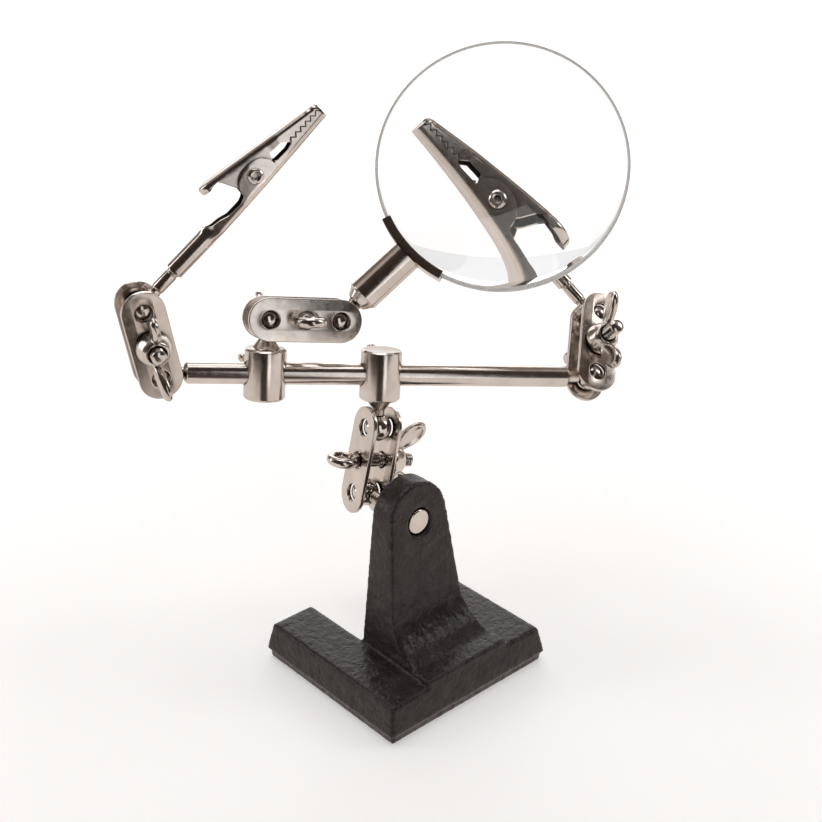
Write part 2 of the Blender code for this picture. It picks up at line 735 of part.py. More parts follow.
def spring_curve(name):
    """Torsion spring round the rivet with one leg on the lower jaw's floor and one under the lever."""
    per_turn = 12
    count = int(SPRING_TURNS * per_turn)
    pitch = 0.00075
    half = SPRING_TURNS * pitch / 2
    start = radians(-100)
    points = []
    for i in range(count + 1):
        turn = start - FULL_TURN * i / per_turn
        points.append((
            RIVET_X + SPRING_RADIUS * cos(turn), -half + pitch * i / per_turn,
            RIVET_Z + SPRING_RADIUS * sin(turn),
        ))
    first = Vector(points[0]) + Vector((-0.0045, 0.0, -0.0003))
    last = Vector(points[-1]) + Vector((-0.0022, 0.0, 0.0016))
    points = [tuple(first), *points, tuple(last)]
    curve = bpy.data.curves.new(name, "CURVE")
    curve.dimensions = "3D"
    curve.bevel_depth = SPRING_WIRE
    curve.bevel_resolution = 2
    curve.use_fill_caps = True
    spline = curve.splines.new("POLY")
    spline.points.add(len(points) - 1)
    for point, position in zip(spline.points, points):
        point.co = (*position, 1.0)
    return curve


def make_clip(side, place, parent):
    """Clip whose ball is at its origin, whose tip is towards +X and whose upper jaw is towards +Z."""
    body = pivot(f"{side}_clip", place, parent)
    flat = Matrix.Identity(4)
    profile = [
        (STEM_RADIUS, STEM_END), (STEM_RADIUS, 0.0062), (NECK_RADIUS, 0.0058), (NECK_RADIUS, NECK_START),
    ]
    turned(f"{side}_clip_stem", pull_to_axis(profile), NICKEL, body, TURN_Z_TO_X, steps=16)
    lower_plan = [
        (BARREL_START, 0.0022), (BARREL_END, 0.0022), (0.0360, 0.0036), (RIVET_X, 0.0039),
        (0.0520, 0.0035), (CLIP_TIP, 0.0022),
    ]
    lower_inner = [
        (BARREL_END, 0.0022 - SHEET), (0.0360, 0.0036 - SHEET), (RIVET_X, 0.0039 - SHEET),
        (0.0520, 0.0035 - SHEET), (CLIP_TIP - SHEET, 0.0022 - SHEET),
    ]
    floor = [
        (BARREL_END, -0.0013), (CLIP_TIP - SHEET, SHEET - 0.0006), (CLIP_TIP - SHEET, 0.02),
        (BARREL_END, 0.02),
    ]
    lower = make_jaw(
        f"{side}_clip_lower_jaw", lower_jaw_outline(), lower_plan, lower_inner, floor, body, flat,
    )
    barrel = rod_mesh(f"{side}_clip_barrel", BARREL_RADIUS, BARREL_START, BARREL_END, 16)
    barrel = add_cutter(f"{side}_clip_barrel", barrel, body, TURN_Z_TO_X)
    boolean(lower, barrel, "UNION")
    bore = rod_mesh(f"{side}_clip_bore", STEM_RADIUS + 0.0001, 0.0, BARREL_END + 0.001, 16)
    boolean(lower, add_cutter(f"{side}_clip_bore", bore, body, TURN_Z_TO_X), "DIFFERENCE")
    rivet_place = Matrix.Translation((RIVET_X, 0.0, RIVET_Z)) @ TURN_Z_TO_Y
    pin_hole = rod_mesh(f"{side}_clip_pin_hole", RIVET_RADIUS + 0.0002, -0.01, 0.01, 16)
    pin_hole = add_cutter(f"{side}_clip_pin_hole", pin_hole, body, rivet_place)
    boolean(lower, pin_hole, "DIFFERENCE")
    head = 0.0045
    shoulder = 0.0039 + 0.0002
    rivet_profile = [
        (RIVET_BORE, head), (RIVET_HEAD_RADIUS, head), (RIVET_HEAD_RADIUS, shoulder),
        (RIVET_RADIUS, shoulder), (RIVET_RADIUS, -shoulder), (RIVET_HEAD_RADIUS, -shoulder),
        (RIVET_HEAD_RADIUS, -head), (RIVET_BORE, -head),
    ]
    turned(f"{side}_clip_rivet", rivet_profile, NICKEL, body, rivet_place, closed=True, steps=16)
    add_part(f"{side}_clip_spring", spring_curve(f"{side}_clip_spring"), NICKEL, body)
    jaw_place = Matrix.Translation((RIVET_X, 0.0, RIVET_Z))
    jaw_body = pivot(f"{side}_jaw_pivot", place @ jaw_place, body)
    upper_plan = [
        (0.0300, 0.0016), (0.0314, 0.0026), (0.0330, 0.0029), (0.0500, 0.0029), (0.0525, 0.0032),
        (CLIP_TIP, 0.0022),
    ]
    upper_inner = [
        (0.0320, 0.0029 - SHEET), (0.0500, 0.0029 - SHEET), (0.0525, 0.0032 - SHEET),
        (CLIP_TIP - SHEET, 0.0022 - SHEET),
    ]
    ceiling = [
        (0.0326, -0.01), (CLIP_TIP - SHEET, -0.01), (CLIP_TIP - SHEET, 0.0036 - SHEET),
        (0.0400, 0.0086 - SHEET), (0.0326, 0.0101 - SHEET),
    ]
    local = jaw_place.inverted()
    upper = make_jaw(
        f"{side}_clip_upper_jaw", upper_jaw_outline(), upper_plan, upper_inner, ceiling, jaw_body, local,
    )
    boolean(upper, pin_hole, "DIFFERENCE")
    return body


# ---------------------------------------------------------------- assembly

def make_assembly():
    base = make_base()
    stud_ball = Vector((0.0, STUD_BALL_Y, STUD_HEIGHT))
    ball_place = Matrix.Translation(stud_ball) @ Matrix.Rotation(pi / 2, 4, "X")
    stud_pivot = pivot("base_ball_pivot", ball_place, base)
    ball("base_stud_ball", stud_pivot, Matrix.Identity(4))

    clamp_place = frame_at(stud_ball, aim(*LOWER_CLAMP_AIM), aim(*LOWER_CLAMP_EYE))
    lower_clamp = make_clamp("lower_clamp", clamp_place, stud_pivot)

    bar_axis = aim(*BAR_AIM)
    collar_up = frame_at(Vector(), bar_axis, aim(*CENTER_COLLAR_AIM)).col[2].to_3d()
    upper_ball = clamp_place @ Vector((HOLE_SPACING, 0.0, 0.0))
    bar_center = upper_ball + collar_up * COLLAR_BALL_REACH
    center_place = frame_at(bar_center, bar_axis, -collar_up)
    center_ball = pivot("center_ball_pivot", frame_at(upper_ball, bar_axis, collar_up), lower_clamp)
    ball("center_collar_ball", center_ball, Matrix.Identity(4))
    center = pivot("center_collar_pivot", frame_at(upper_ball, bar_axis, collar_up), center_ball)
    center_local = PLACES[center].inverted() @ center_place
    part = collar("center_collar", center_local, center)
    collar_screw_hole(part, "center_collar", center_local, center, -1)
    collar_screw("center_collar", center, center_place, -1)

    bar_place = frame_at(bar_center, bar_axis, collar_up)
    bar = pivot("crossbar_pivot", bar_place, center)
    crossbar(bar)

    slider_center = bar_place @ Vector((MAGNIFIER_COLLAR_PLACE, 0.0, 0.0))
    slider_place = frame_at(slider_center, bar_axis, aim(*MAGNIFIER_COLLAR_AIM))
    slider = pivot("magnifier_collar_pivot", slider_place, bar)
    part = collar("magnifier_collar", Matrix.Identity(4), slider)
    collar_screw_hole(part, "magnifier_collar", Matrix.Identity(4), slider, 1)
    collar_screw("magnifier_collar", slider, slider_place, 1)
    slider_up = slider_place.col[2].to_3d()
    slider_ball = slider_place @ Vector((0.0, 0.0, COLLAR_BALL_REACH))
    ball_pivot = pivot("magnifier_collar_ball_pivot", frame_at(slider_ball, bar_axis, slider_up), slider)
    ball("magnifier_collar_ball", ball_pivot, Matrix.Rotation(pi, 4, "X"))

    clamp_place = frame_at(slider_ball, aim(*MAGNIFIER_CLAMP_AIM), aim(*MAGNIFIER_CLAMP_EYE))
    magnifier_clamp = make_clamp("magnifier_clamp", clamp_place, ball_pivot)
    handle_ball = clamp_place @ Vector((HOLE_SPACING, 0.0, 0.0))
    handle_place = frame_at(handle_ball, aim(*HANDLE_AIM), aim(*LENS_FACE_AIM))
    ball_pivot = pivot("handle_ball_pivot", handle_place, magnifier_clamp)
    ball("magnifier_handle_ball", ball_pivot, TURN_Z_TO_X)
    make_magnifier(handle_place, ball_pivot)

    arms = (
        ("left", BAR_LEFT_BALL, TURN_Z_TO_X, LEFT_CLAMP_AIM, LEFT_CLAMP_EYE, LEFT_CLIP_AIM, LEFT_CLIP_BACK),
        ("right", BAR_RIGHT_BALL, TURN_Z_TO_MINUS_X, RIGHT_CLAMP_AIM, RIGHT_CLAMP_EYE, RIGHT_CLIP_AIM,
         RIGHT_CLIP_BACK),
    )
    for side, reach, towards_bar, clamp_aim, eye_aim, clip_aim, back_aim in arms:
        bar_ball = bar_place @ Vector((reach, 0.0, 0.0))
        ball_pivot = pivot(f"bar_{side}_ball_pivot", frame_at(bar_ball, bar_axis, collar_up), bar)
        ball(f"bar_{side}_ball", ball_pivot, towards_bar)
        clamp_place = frame_at(bar_ball, aim(*clamp_aim), aim(*eye_aim))
        clamp = make_clamp(f"{side}_clamp", clamp_place, ball_pivot)
        clip_ball = clamp_place @ Vector((HOLE_SPACING, 0.0, 0.0))
        clip_place = frame_at(clip_ball, aim(*clip_aim), aim(*back_aim))
        ball_pivot = pivot(f"{side}_clip_ball_pivot", clip_place, clamp)
        ball(f"{side}_clip_ball", ball_pivot, TURN_Z_TO_X)
        make_clip(side, clip_place, ball_pivot)


clear_scene()
PARTS = new_collection(OBJECT_NAME)
CUTTERS = new_collection("cutters")
NICKEL = new_material("nickel_plate", (0.66, 0.61, 0.57), 0.18, 1.0)
CAST_IRON = new_material("black_cast_iron", (0.025, 0.022, 0.021), 0.45, 0.0)
GLASS = new_material("lens_glass", (0.95, 0.97, 0.97), 0.03, 0.0, 1.0)
make_assembly()
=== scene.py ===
"""Looks of the helping hands magnifier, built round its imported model."""
import json
from math import asin, cos, degrees, pi, radians, sin, sqrt

import bmesh
import bpy
from mathutils import Matrix, Vector


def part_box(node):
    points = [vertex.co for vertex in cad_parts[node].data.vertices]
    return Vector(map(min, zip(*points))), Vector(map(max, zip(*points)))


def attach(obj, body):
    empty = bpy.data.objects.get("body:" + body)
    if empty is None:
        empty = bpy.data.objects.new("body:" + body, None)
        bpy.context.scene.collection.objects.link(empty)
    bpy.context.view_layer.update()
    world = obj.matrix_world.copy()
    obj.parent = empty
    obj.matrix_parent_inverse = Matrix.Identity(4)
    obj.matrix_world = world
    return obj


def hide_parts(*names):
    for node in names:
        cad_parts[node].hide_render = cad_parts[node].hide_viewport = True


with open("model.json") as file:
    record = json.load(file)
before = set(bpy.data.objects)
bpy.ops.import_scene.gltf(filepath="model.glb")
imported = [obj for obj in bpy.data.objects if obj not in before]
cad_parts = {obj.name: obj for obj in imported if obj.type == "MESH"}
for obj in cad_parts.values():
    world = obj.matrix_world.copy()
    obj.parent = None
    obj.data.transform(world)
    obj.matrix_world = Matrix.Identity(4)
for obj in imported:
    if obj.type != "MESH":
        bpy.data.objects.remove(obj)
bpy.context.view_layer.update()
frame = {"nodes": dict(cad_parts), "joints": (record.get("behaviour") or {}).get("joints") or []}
JOINTS = {joint["name"]: joint for joint in frame["joints"]}
MM = 0.001
FULL_TURN = 2 * pi

# Sizes in millimetres, the same as the model's.
GAP = 0.3
BALL_RADIUS = 3.7
BALL_FLAT = 3.2
NECK_START = BALL_FLAT + GAP
NECK = 1.6
PLATE_RADIUS = 5.6
PLATE_THICKNESS = 1.2
PLATE_HALF_GAP = 3.1
PLATE_OUTER = PLATE_HALF_GAP + PLATE_THICKNESS
BALL_HOLE = 2.35
BOLT = 1.9
EYE = 4.2
EYE_HOLE = 2.1
NUT_HEIGHT = 4.6
BAR = 2.9
COLLAR = 5.4
COLLAR_HALF = 6.7
COLLAR_BALL = 14.3
LENS = 33.0
LENS_CURVATURE = 88.0
LENS_EDGE = 2.6
LENS_REACH = 58.6
GROUND_WIDTH = 0.9
THREAD_PITCH = 0.7
THREAD_DEPTH = 0.36
THREAD_DOME = 0.54
THREAD_RINGS = 6
THREAD_STEPS = 32
HANDLE = 4.4
CRADLE_HALF_ANGLE = radians(18.5)
SHEET = 0.7
RIVET_X = 42.8
RIVET_Z = 2.2
CLIP_TIP = 65.5
BITE = 1.3
TOOTH_PITCH = 1.75
TOOTH_COUNT = 6
TOOTH_DEPTH = 1.0
TEETH_END = CLIP_TIP - 0.4
TEETH_START = TEETH_END - TOOTH_PITCH * TOOTH_COUNT
JAW_GAP = 0.35
CHANNEL_MIDDLE = 1.5
EAR_BASE = 0.9
EAR_RISE = 4.5
EAR_HALF = 5.5
EAR_START = 37.3
EAR_END = 48.3
EYE_ANGLES = {"lower_clamp": 0.0, "magnifier_clamp": 90.0, "left_clamp": 0.0, "right_clamp": 0.0}
BOLT_TIPS = {"lower_clamp": 8.0, "magnifier_clamp": 8.0, "left_clamp": 7.5, "right_clamp": 10.5}


# ---------------------------------------------------------------- places

def joint_point(name):
    return Vector(JOINTS[name]["pos_m"])


def joint_axis(name):
    return Vector(JOINTS[name]["axis"]).normalized()


def node_middle(name):
    low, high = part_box(name)
    return (Vector(low) + Vector(high)) / 2


def frame_at(origin, x_axis, z_hint):
    """Placement in millimetres at origin, X along x_axis and Z as near z_hint as it can be."""
    x_axis = x_axis.normalized()
    z_axis = (z_hint - x_axis * z_hint.dot(x_axis)).normalized()
    y_axis = z_axis.cross(x_axis)
    turn = Matrix((x_axis, y_axis, z_axis)).transposed().to_4x4()
    return Matrix.Translation(origin) @ turn @ Matrix.Scale(MM, 4)


def moved(x, y, z):
    return Matrix.Translation((x, y, z))


def turned_about(axis, degrees):
    return Matrix.Rotation(radians(degrees), 4, axis)


Z_TO_X = turned_about("Y", 90)
Z_TO_Y = turned_about("X", -90)


# ---------------------------------------------------------------- materials

class Nodes:
    """Short way to add and link shader nodes."""

    def __init__(self, name):
        self.material = bpy.data.materials.new(name)
        self.material.use_nodes = True
        self.tree = self.material.node_tree
        self.shader = self.tree.nodes["Principled BSDF"]
        self.place = self.tree.nodes.new("ShaderNodeTexCoord").outputs["Object"]

    def add(self, kind, **values):
        node = self.tree.nodes.new(kind)
        for key, value in values.items():
            setattr(node, key, value)
        return node

    def link(self, source, target):
        self.tree.links.new(source, target)

    def noise(self, scale, detail=3.0, roughness=0.55):
        node = self.add("ShaderNodeTexNoise")
        node.inputs["Scale"].default_value = scale
        node.inputs["Detail"].default_value = detail
        node.inputs["Roughness"].default_value = roughness
        self.link(self.place, node.inputs["Vector"])
        return node.outputs["Fac"]

    def spread(self, value, low, high, from_low=0.3, from_high=0.7):
        node = self.add("ShaderNodeMapRange")
        node.inputs["From Min"].default_value = from_low
        node.inputs["From Max"].default_value = from_high
        node.inputs["To Min"].default_value = low
        node.inputs["To Max"].default_value = high
        self.link(value, node.inputs["Value"])
        return node.outputs["Result"]

    def ramp(self, value, stops):
        node = self.add("ShaderNodeValToRGB")
        elements = node.color_ramp.elements
        while len(elements) < len(stops):
            elements.new(0.5)
        for element, (place, color) in zip(elements, stops):
            element.position = place
            element.color = (*color, 1.0)
        self.link(value, node.inputs["Fac"])
        return node.outputs["Color"]

    def bump(self, heights):
        """Chain of bumps from (height, strength, distance)."""
        last = None
        for height, strength, distance in heights:
            node = self.add("ShaderNodeBump")
            node.inputs["Strength"].default_value = strength
            node.inputs["Distance"].default_value = distance
            self.link(height, node.inputs["Height"])
            if last:
                self.link(last, node.inputs["Normal"])
            last = node.outputs["Normal"]
        self.link(last, self.shader.inputs["Normal"])


def nickel(name, dark, light, rough_low, rough_high, dent=0.0, grain=0.06):
    """Bright nickel plate: slight colour drift, painted shade that darkens it in crevices, uneven
    gloss and a little waviness.
    """
    nodes = Nodes(name)
    nodes.shader.inputs["Metallic"].default_value = 1.0
    drift = nodes.noise(140.0, 2.0)
    color = nodes.ramp(drift, [(0.32, dark), (0.68, light)])
    # Painted shade: ambient occlusion darkens the colour towards dark brown in crevices and where
    # parts nearly touch.
    corner = nodes.add("ShaderNodeAmbientOcclusion", samples=6)
    corner.inputs["Distance"].default_value = 0.0016
    nodes.link(color, corner.inputs["Color"])
    crevice_shade = nodes.add("ShaderNodeMix", data_type="RGBA")
    nodes.link(nodes.spread(corner.outputs["AO"], 0.0, 1.0, 0.35, 0.85), crevice_shade.inputs["Factor"])
    crevice_shade.inputs["A"].default_value = (0.085, 0.062, 0.050, 1.0)
    nodes.link(color, crevice_shade.inputs["B"])
    nodes.link(crevice_shade.outputs["Result"], nodes.shader.inputs["Base Color"])
    gloss = nodes.spread(nodes.noise(420.0, 4.0, 0.65), rough_low, rough_high)
    nodes.link(gloss, nodes.shader.inputs["Roughness"])
    heights = [(nodes.noise(2600.0, 2.0), grain, 0.00003)]
    if dent:
        heights.append((nodes.noise(330.0, 2.0, 0.4), dent, 0.00025))
    nodes.bump(heights)
    return nodes.material


def black_paint():
    """Semi-gloss black paint over a rough sand casting, its edges lightened to brown: partly wear,
    partly a painted highlight.
    """
    nodes = Nodes("black_cast_paint")
    blotch = nodes.noise(260.0, 5.0, 0.6)
    color = nodes.ramp(blotch, [(0.3, (0.020, 0.0150, 0.0145)), (0.75, (0.058, 0.046, 0.045))])
    # Wear and painted highlight: convex edges, found by pointiness, are mixed towards warm brown.
    edge = nodes.add("ShaderNodeNewGeometry").outputs["Pointiness"]
    edge_wear_and_highlight = nodes.spread(edge, 0.0, 1.0, 0.535, 0.60)
    mix = nodes.add("ShaderNodeMix", data_type="RGBA")
    nodes.link(edge_wear_and_highlight, mix.inputs["Factor"])
    nodes.link(color, mix.inputs["A"])
    mix.inputs["B"].default_value = (0.11, 0.085, 0.075, 1.0)
    nodes.link(mix.outputs["Result"], nodes.shader.inputs["Base Color"])
    nodes.shader.inputs["Specular IOR Level"].default_value = 0.32
    gloss = nodes.spread(nodes.noise(700.0, 4.0, 0.7), 0.20, 0.40)
    nodes.link(gloss, nodes.shader.inputs["Roughness"])
    pits = nodes.add("ShaderNodeTexVoronoi")
    pits.inputs["Scale"].default_value = 620.0
    nodes.link(nodes.place, pits.inputs["Vector"])
    pit = nodes.spread(pits.outputs["Distance"], 0.0, 1.0, 0.0, 0.32)
    nodes.bump([
        (nodes.noise(900.0, 4.0, 0.55), 0.30, 0.00030),
        (pit, 0.55, 0.00018),
        (nodes.noise(4200.0, 2.0), 0.25, 0.00005),
    ])
    return nodes.material


def clear_glass():
    nodes = Nodes("lens_glass")
    nodes.shader.inputs["Base Color"].default_value = (0.962, 0.960, 0.963, 1.0)
    nodes.shader.inputs["Transmission Weight"].default_value = 1.0
    nodes.shader.inputs["Roughness"].default_value = 0.0
    nodes.shader.inputs["IOR"].default_value = 1.5
    return nodes.material


def ground_glass():
    """Frosted ground edge of the lens."""
    nodes = Nodes("ground_glass_edge")
    grain = nodes.noise(1800.0, 3.0)
    color = nodes.ramp(grain, [(0.3, (0.62, 0.61, 0.59)), (0.7, (0.82, 0.81, 0.79))])
    nodes.link(color, nodes.shader.inputs["Base Color"])
    nodes.shader.inputs["Transmission Weight"].default_value = 0.35
    nodes.link(nodes.spread(grain, 0.38, 0.60), nodes.shader.inputs["Roughness"])
    nodes.bump([(nodes.noise(5200.0, 2.0), 0.3, 0.00004)])
    return nodes.material


WARM_DARK = (0.69, 0.635, 0.59)
WARM_LIGHT = (0.80, 0.745, 0.70)
MATERIALS = {
    "cast_base": black_paint(),
    "bright_rod": nickel("nickel_turned", WARM_DARK, WARM_LIGHT, 0.13, 0.22),
    "ball": nickel("nickel_ball", WARM_DARK, WARM_LIGHT, 0.08, 0.16),
    "clamp_plate": nickel("nickel_stamped", WARM_DARK, WARM_LIGHT, 0.14, 0.27, 0.10),
    "wing_nut": nickel("nickel_cast", WARM_DARK, WARM_LIGHT, 0.12, 0.26, 0.35),
    "bolt": nickel("nickel_bolt", WARM_DARK, WARM_LIGHT, 0.12, 0.22, 0.08),
    "clip_sheet": nickel("nickel_sheet", WARM_DARK, WARM_LIGHT, 0.12, 0.24, 0.04),
    "spring_wire": nickel("spring_steel", (0.36, 0.34, 0.32), (0.46, 0.44, 0.42), 0.24, 0.36),
    "rivet": nickel("nickel_rivet", WARM_DARK, WARM_LIGHT, 0.12, 0.22),
    "lens_glass": clear_glass(),
}
GROUND_EDGE = ground_glass()
# Painted shade: a darker, rougher copy of the sheet nickel for the faces that look into a jaw's
# channel.
CLIP_INSIDE_SHADE = nickel(
    "nickel_sheet_inside_painted_shade", (0.07, 0.052, 0.042), (0.15, 0.12, 0.10), 0.30, 0.46, 0.12
)


# ---------------------------------------------------------------- mesh tools

def finished(shape, name="mesh"):
    bmesh.ops.remove_doubles(shape, verts=shape.verts, dist=0.0005)
    bmesh.ops.recalc_face_normals(shape, faces=shape.faces)
    mesh = bpy.data.meshes.new(name)
    shape.to_mesh(mesh)
    shape.free()
    return mesh


def evaluated(mesh, *modifiers):
    """Mesh with modifiers applied, each given as (type, {setting: value})."""
    holder = bpy.data.objects.new("holder", mesh)
    bpy.context.scene.collection.objects.link(holder)
    for kind, settings in modifiers:
        modifier = holder.modifiers.new(kind, kind)
        for key, value in settings.items():
            setattr(modifier, key, value)
    bpy.context.view_layer.update()
    result = bpy.data.meshes.new_from_object(
        holder.evaluated_get(bpy.context.evaluated_depsgraph_get())
    )
    bpy.data.objects.remove(holder)
    return result


def combined(mesh, other, operation):
    tool = bpy.data.objects.new("tool", other)
    bpy.context.scene.collection.objects.link(tool)
    cut = {"object": tool, "operation": operation, "solver": "EXACT"}
    result = evaluated(mesh, ("BOOLEAN", cut))
    bpy.data.objects.remove(tool)
    return result


def placed(mesh, matrix):
    mesh.transform(matrix)
    if matrix.determinant() < 0:
        mesh.flip_normals()
    return mesh


def arc(radius, start, end, count, center=(0.0, 0.0)):
    step = radians(end - start) / count
    first = radians(start)
    return [
        (center[0] + radius * cos(first + step * i), center[1] + radius * sin(first + step * i))
        for i in range(count + 1)
    ]


def curve_mesh(curve):
    holder = bpy.data.objects.new("curve", curve)
    bpy.context.scene.collection.objects.link(holder)
    bpy.context.view_layer.update()
    mesh = bpy.data.meshes.new_from_object(
        holder.evaluated_get(bpy.context.evaluated_depsgraph_get())
    )
    bpy.data.objects.remove(holder)
    return mesh


def circle(radius, count, center=(0.0, 0.0)):
    return arc(radius, 0.0, 360.0 * (count - 1) / count, count - 1, center)


def rounded(points, radius, count=4):
    """Polyline with its inner corners rounded; ends stay."""
    result = [points[0]]
    for before, corner, after in zip(points, points[1:], points[2:]):
        corner = Vector(corner)
        back = Vector(before) - corner
        ahead = Vector(after) - corner
        reach = min(radius, back.length * 0.45, ahead.length * 0.45)
        start = corner + back.normalized() * reach
        end = corner + ahead.normalized() * reach
        for i in range(count + 1):
            t = i / count
            point = start * (1 - t) ** 2 + corner * 2 * t * (1 - t) + end * t * t
            result.append(tuple(point))
    result.append(points[-1])
    return result


def vertex_ring(shape, radius, height, steps):
    """Ring of new vertices about Z, or a single one on the axis."""
    if radius < 0.0001:
        return [shape.verts.new((0.0, 0.0, height))]
    return [
        shape.verts.new((
            radius * cos(FULL_TURN * i / steps), radius * sin(FULL_TURN * i / steps), height,
        ))
        for i in range(steps)
    ]


def skin(shape, pairs, steps):
    """Faces between each pair of rings, either of which may be a single vertex."""
    for first, second in pairs:
        for i in range(steps):
            j = (i + 1) % steps
            loop = [
                first[i % len(first)], second[i % len(second)],
                second[j % len(second)], first[j % len(first)],
            ]
            loop = list(dict.fromkeys(loop))
            if len(loop) > 2:
                shape.faces.new(loop)


def lathe(profile, steps=64, closed=False):
    """Profile of (radius, height) turned about Z."""
    shape = bmesh.new()
    rings = [vertex_ring(shape, radius, height, steps) for radius, height in profile]
    pairs = list(zip(rings, rings[1:]))
    if closed:
        pairs.append((rings[-1], rings[0]))
    skin(shape, pairs, steps)
    return finished(shape)


def rod(profile, radius=0.15, steps=64):
    """Turned piece whose profile's ends are closed on the axis and whose corners are rounded."""
    ends = [(0.0, profile[0][1]), *profile, (0.0, profile[-1][1])]
    return lathe(rounded(ends, radius), steps)


def screw_thread(radius, start, end):
    """Closed threaded rod along Z with a domed far end at start."""
    shape = bmesh.new()
    count = max(4, int((end - start) / THREAD_PITCH * THREAD_RINGS))
    rings = []
    for k in range(count + 1):
        height = start + (end - start) * k / count
        fade = max(0.0, min(1.0, height - start, (end - height) / 0.6 + 0.1))
        level = []
        for i in range(THREAD_STEPS):
            phase = (height / THREAD_PITCH - i / THREAD_STEPS) % 1.0
            groove = abs(phase - 0.5) * 2.0
            local = radius - THREAD_DEPTH * (1.0 - groove) * fade
            angle = FULL_TURN * i / THREAD_STEPS
            level.append(shape.verts.new((local * cos(angle), local * sin(angle), height)))
        rings.append(level)
    for size, reach in ((0.80, 0.30), (0.45, 0.48), (0.0, THREAD_DOME)):
        rings.insert(0, vertex_ring(shape, radius * size, start - reach, THREAD_STEPS))
    rings.append(vertex_ring(shape, 0.0, end, THREAD_STEPS))
    skin(shape, zip(rings, rings[1:]), THREAD_STEPS)
    return finished(shape)


def smooth_mesh(mesh, angle=35.0):
    mesh.shade_smooth()
    mesh.set_sharp_from_angle(angle=radians(angle))


def piece(name, mesh, place, body, slot_name, *nodes, angle=35.0, second=None, chosen=None):
    """Visible piece that stands for CAD nodes and moves with a body.

    Faces that the test "chosen" accepts get the second material.
    """
    mesh.name = name
    mesh.materials.clear()
    mesh.materials.append(MATERIALS[slot_name])
    if second:
        mesh.materials.append(second)
        for face in mesh.polygons:
            face.material_index = int(chosen(face))
    smooth_mesh(mesh, angle)
    mesh.transform(place)
    item = bpy.data.objects.new(name, mesh)
    bpy.context.scene.collection.objects.link(item)
    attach(item, body)
    if nodes:
        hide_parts(*nodes)
    return item


# ---------------------------------------------------------------- balls and studs

def ball_mesh():
    """Joint ball, its flat towards +Z, turned from a smooth arc."""
    start = degrees(asin(BALL_FLAT / BALL_RADIUS))
    profile = [(0.0, BALL_FLAT), *arc(BALL_RADIUS, start, -90.0, 40)]
    profile[-1] = (0.0, -BALL_RADIUS)
    return lathe(profile, 64)


def neck(top, bottom, grooves=3):
    """Neck points with fine tool rings, from a height down to another."""
    points = [(NECK, top)]
    step = (top - bottom) / (grooves * 2 + 1)
    for i in range(grooves):
        low = top - step * (2 * i + 1)
        points += [(NECK, low), (NECK - 0.14, low - step * 0.5), (NECK, low - step)]
    points.append((NECK, bottom))
    return points


# ---------------------------------------------------------------- base

def make_base():
    """Cast foot and post: the model's shape with soft edges and a sand-cast skin."""
    casting = frame["nodes"]["base_casting"].data.copy()
    casting.transform(Matrix.Scale(1 / MM, 4))
    shape = bmesh.new()
    shape.from_mesh(casting)
    bmesh.ops.remove_doubles(shape, verts=shape.verts, dist=0.001)
    casting = finished(shape)
    rough = bpy.data.textures.new("casting_lumps", "CLOUDS")
    rough.noise_scale = 1.9
    rough.noise_depth = 2
    fine = bpy.data.textures.new("casting_grain", "CLOUDS")
    fine.noise_scale = 0.75
    fine.noise_depth = 1
    about_middle = {"mid_level": 0.5, "texture_coords": "LOCAL"}
    cast_skin = evaluated(
        casting,
        ("REMESH", {"mode": "VOXEL", "voxel_size": 0.42, "adaptivity": 0.0}),
        ("SMOOTH", {"factor": 0.5, "iterations": 15}),
        ("DISPLACE", {"texture": rough, "strength": 0.20, **about_middle}),
        ("DISPLACE", {"texture": fine, "strength": 0.16, **about_middle}),
    )
    for vert in cast_skin.vertices:
        if vert.co.z < 0.45:
            vert.co.z = max(0.0, (vert.co.z - 0.2) * 1.8)
    origin = Matrix.Scale(MM, 4)
    piece("cast_base", cast_skin, origin, "base", "cast_base", "base_casting", angle=60.0)

    ball = joint_point("lower_clamp_swing")
    stud_place = frame_at(ball, Vector((1.0, 0.0, 0.0)), Vector((0.0, -1.0, 0.0)))
    end = (ball.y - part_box("base_stud")[0][1]) / MM
    profile = [(3.2, end), (3.5, end - 0.3), (3.5, 8.4), (2.9, 7.8), *neck(6.0, NECK_START)]
    stud = rod(profile, 0.2)
    piece("mounting_stud", stud, stud_place, "base", "bright_rod", "base_stud")
    piece("stud_ball", ball_mesh(), stud_place, "base_ball", "ball", "base_stud_ball")


# ---------------------------------------------------------------- clamps

def plate_mesh():
    """Stamped plate with rolled edges and countersunk ball holes."""
    roll = 0.28
    spacing = CLAMP_SPACING
    curve = bpy.data.curves.new("plate", "CURVE")
    curve.dimensions = "2D"
    curve.fill_mode = "BOTH"
    curve.extrude = PLATE_THICKNESS / 2 - roll
    curve.bevel_depth = roll
    curve.bevel_resolution = 4
    curve.offset = -roll
    outline = (
        arc(PLATE_RADIUS, -90.0, 90.0, 40, (spacing, 0.0)) + arc(PLATE_RADIUS, 90.0, 270.0, 40)
    )
    holes = [
        circle(BALL_HOLE, 48), circle(BOLT + GAP, 48, (spacing / 2, 0.0)),
        circle(BALL_HOLE, 48, (spacing, 0.0)),
    ]
    for points in [outline, *holes]:
        spline = curve.splines.new("POLY")
        spline.points.add(len(points) - 1)
        for point, (x, y) in zip(spline.points, points):
            point.co = (x, y, 0.0, 1.0)
        spline.use_cyclic_u = True
    shape = bmesh.new()
    shape.from_mesh(curve_mesh(curve))
    return finished(shape)


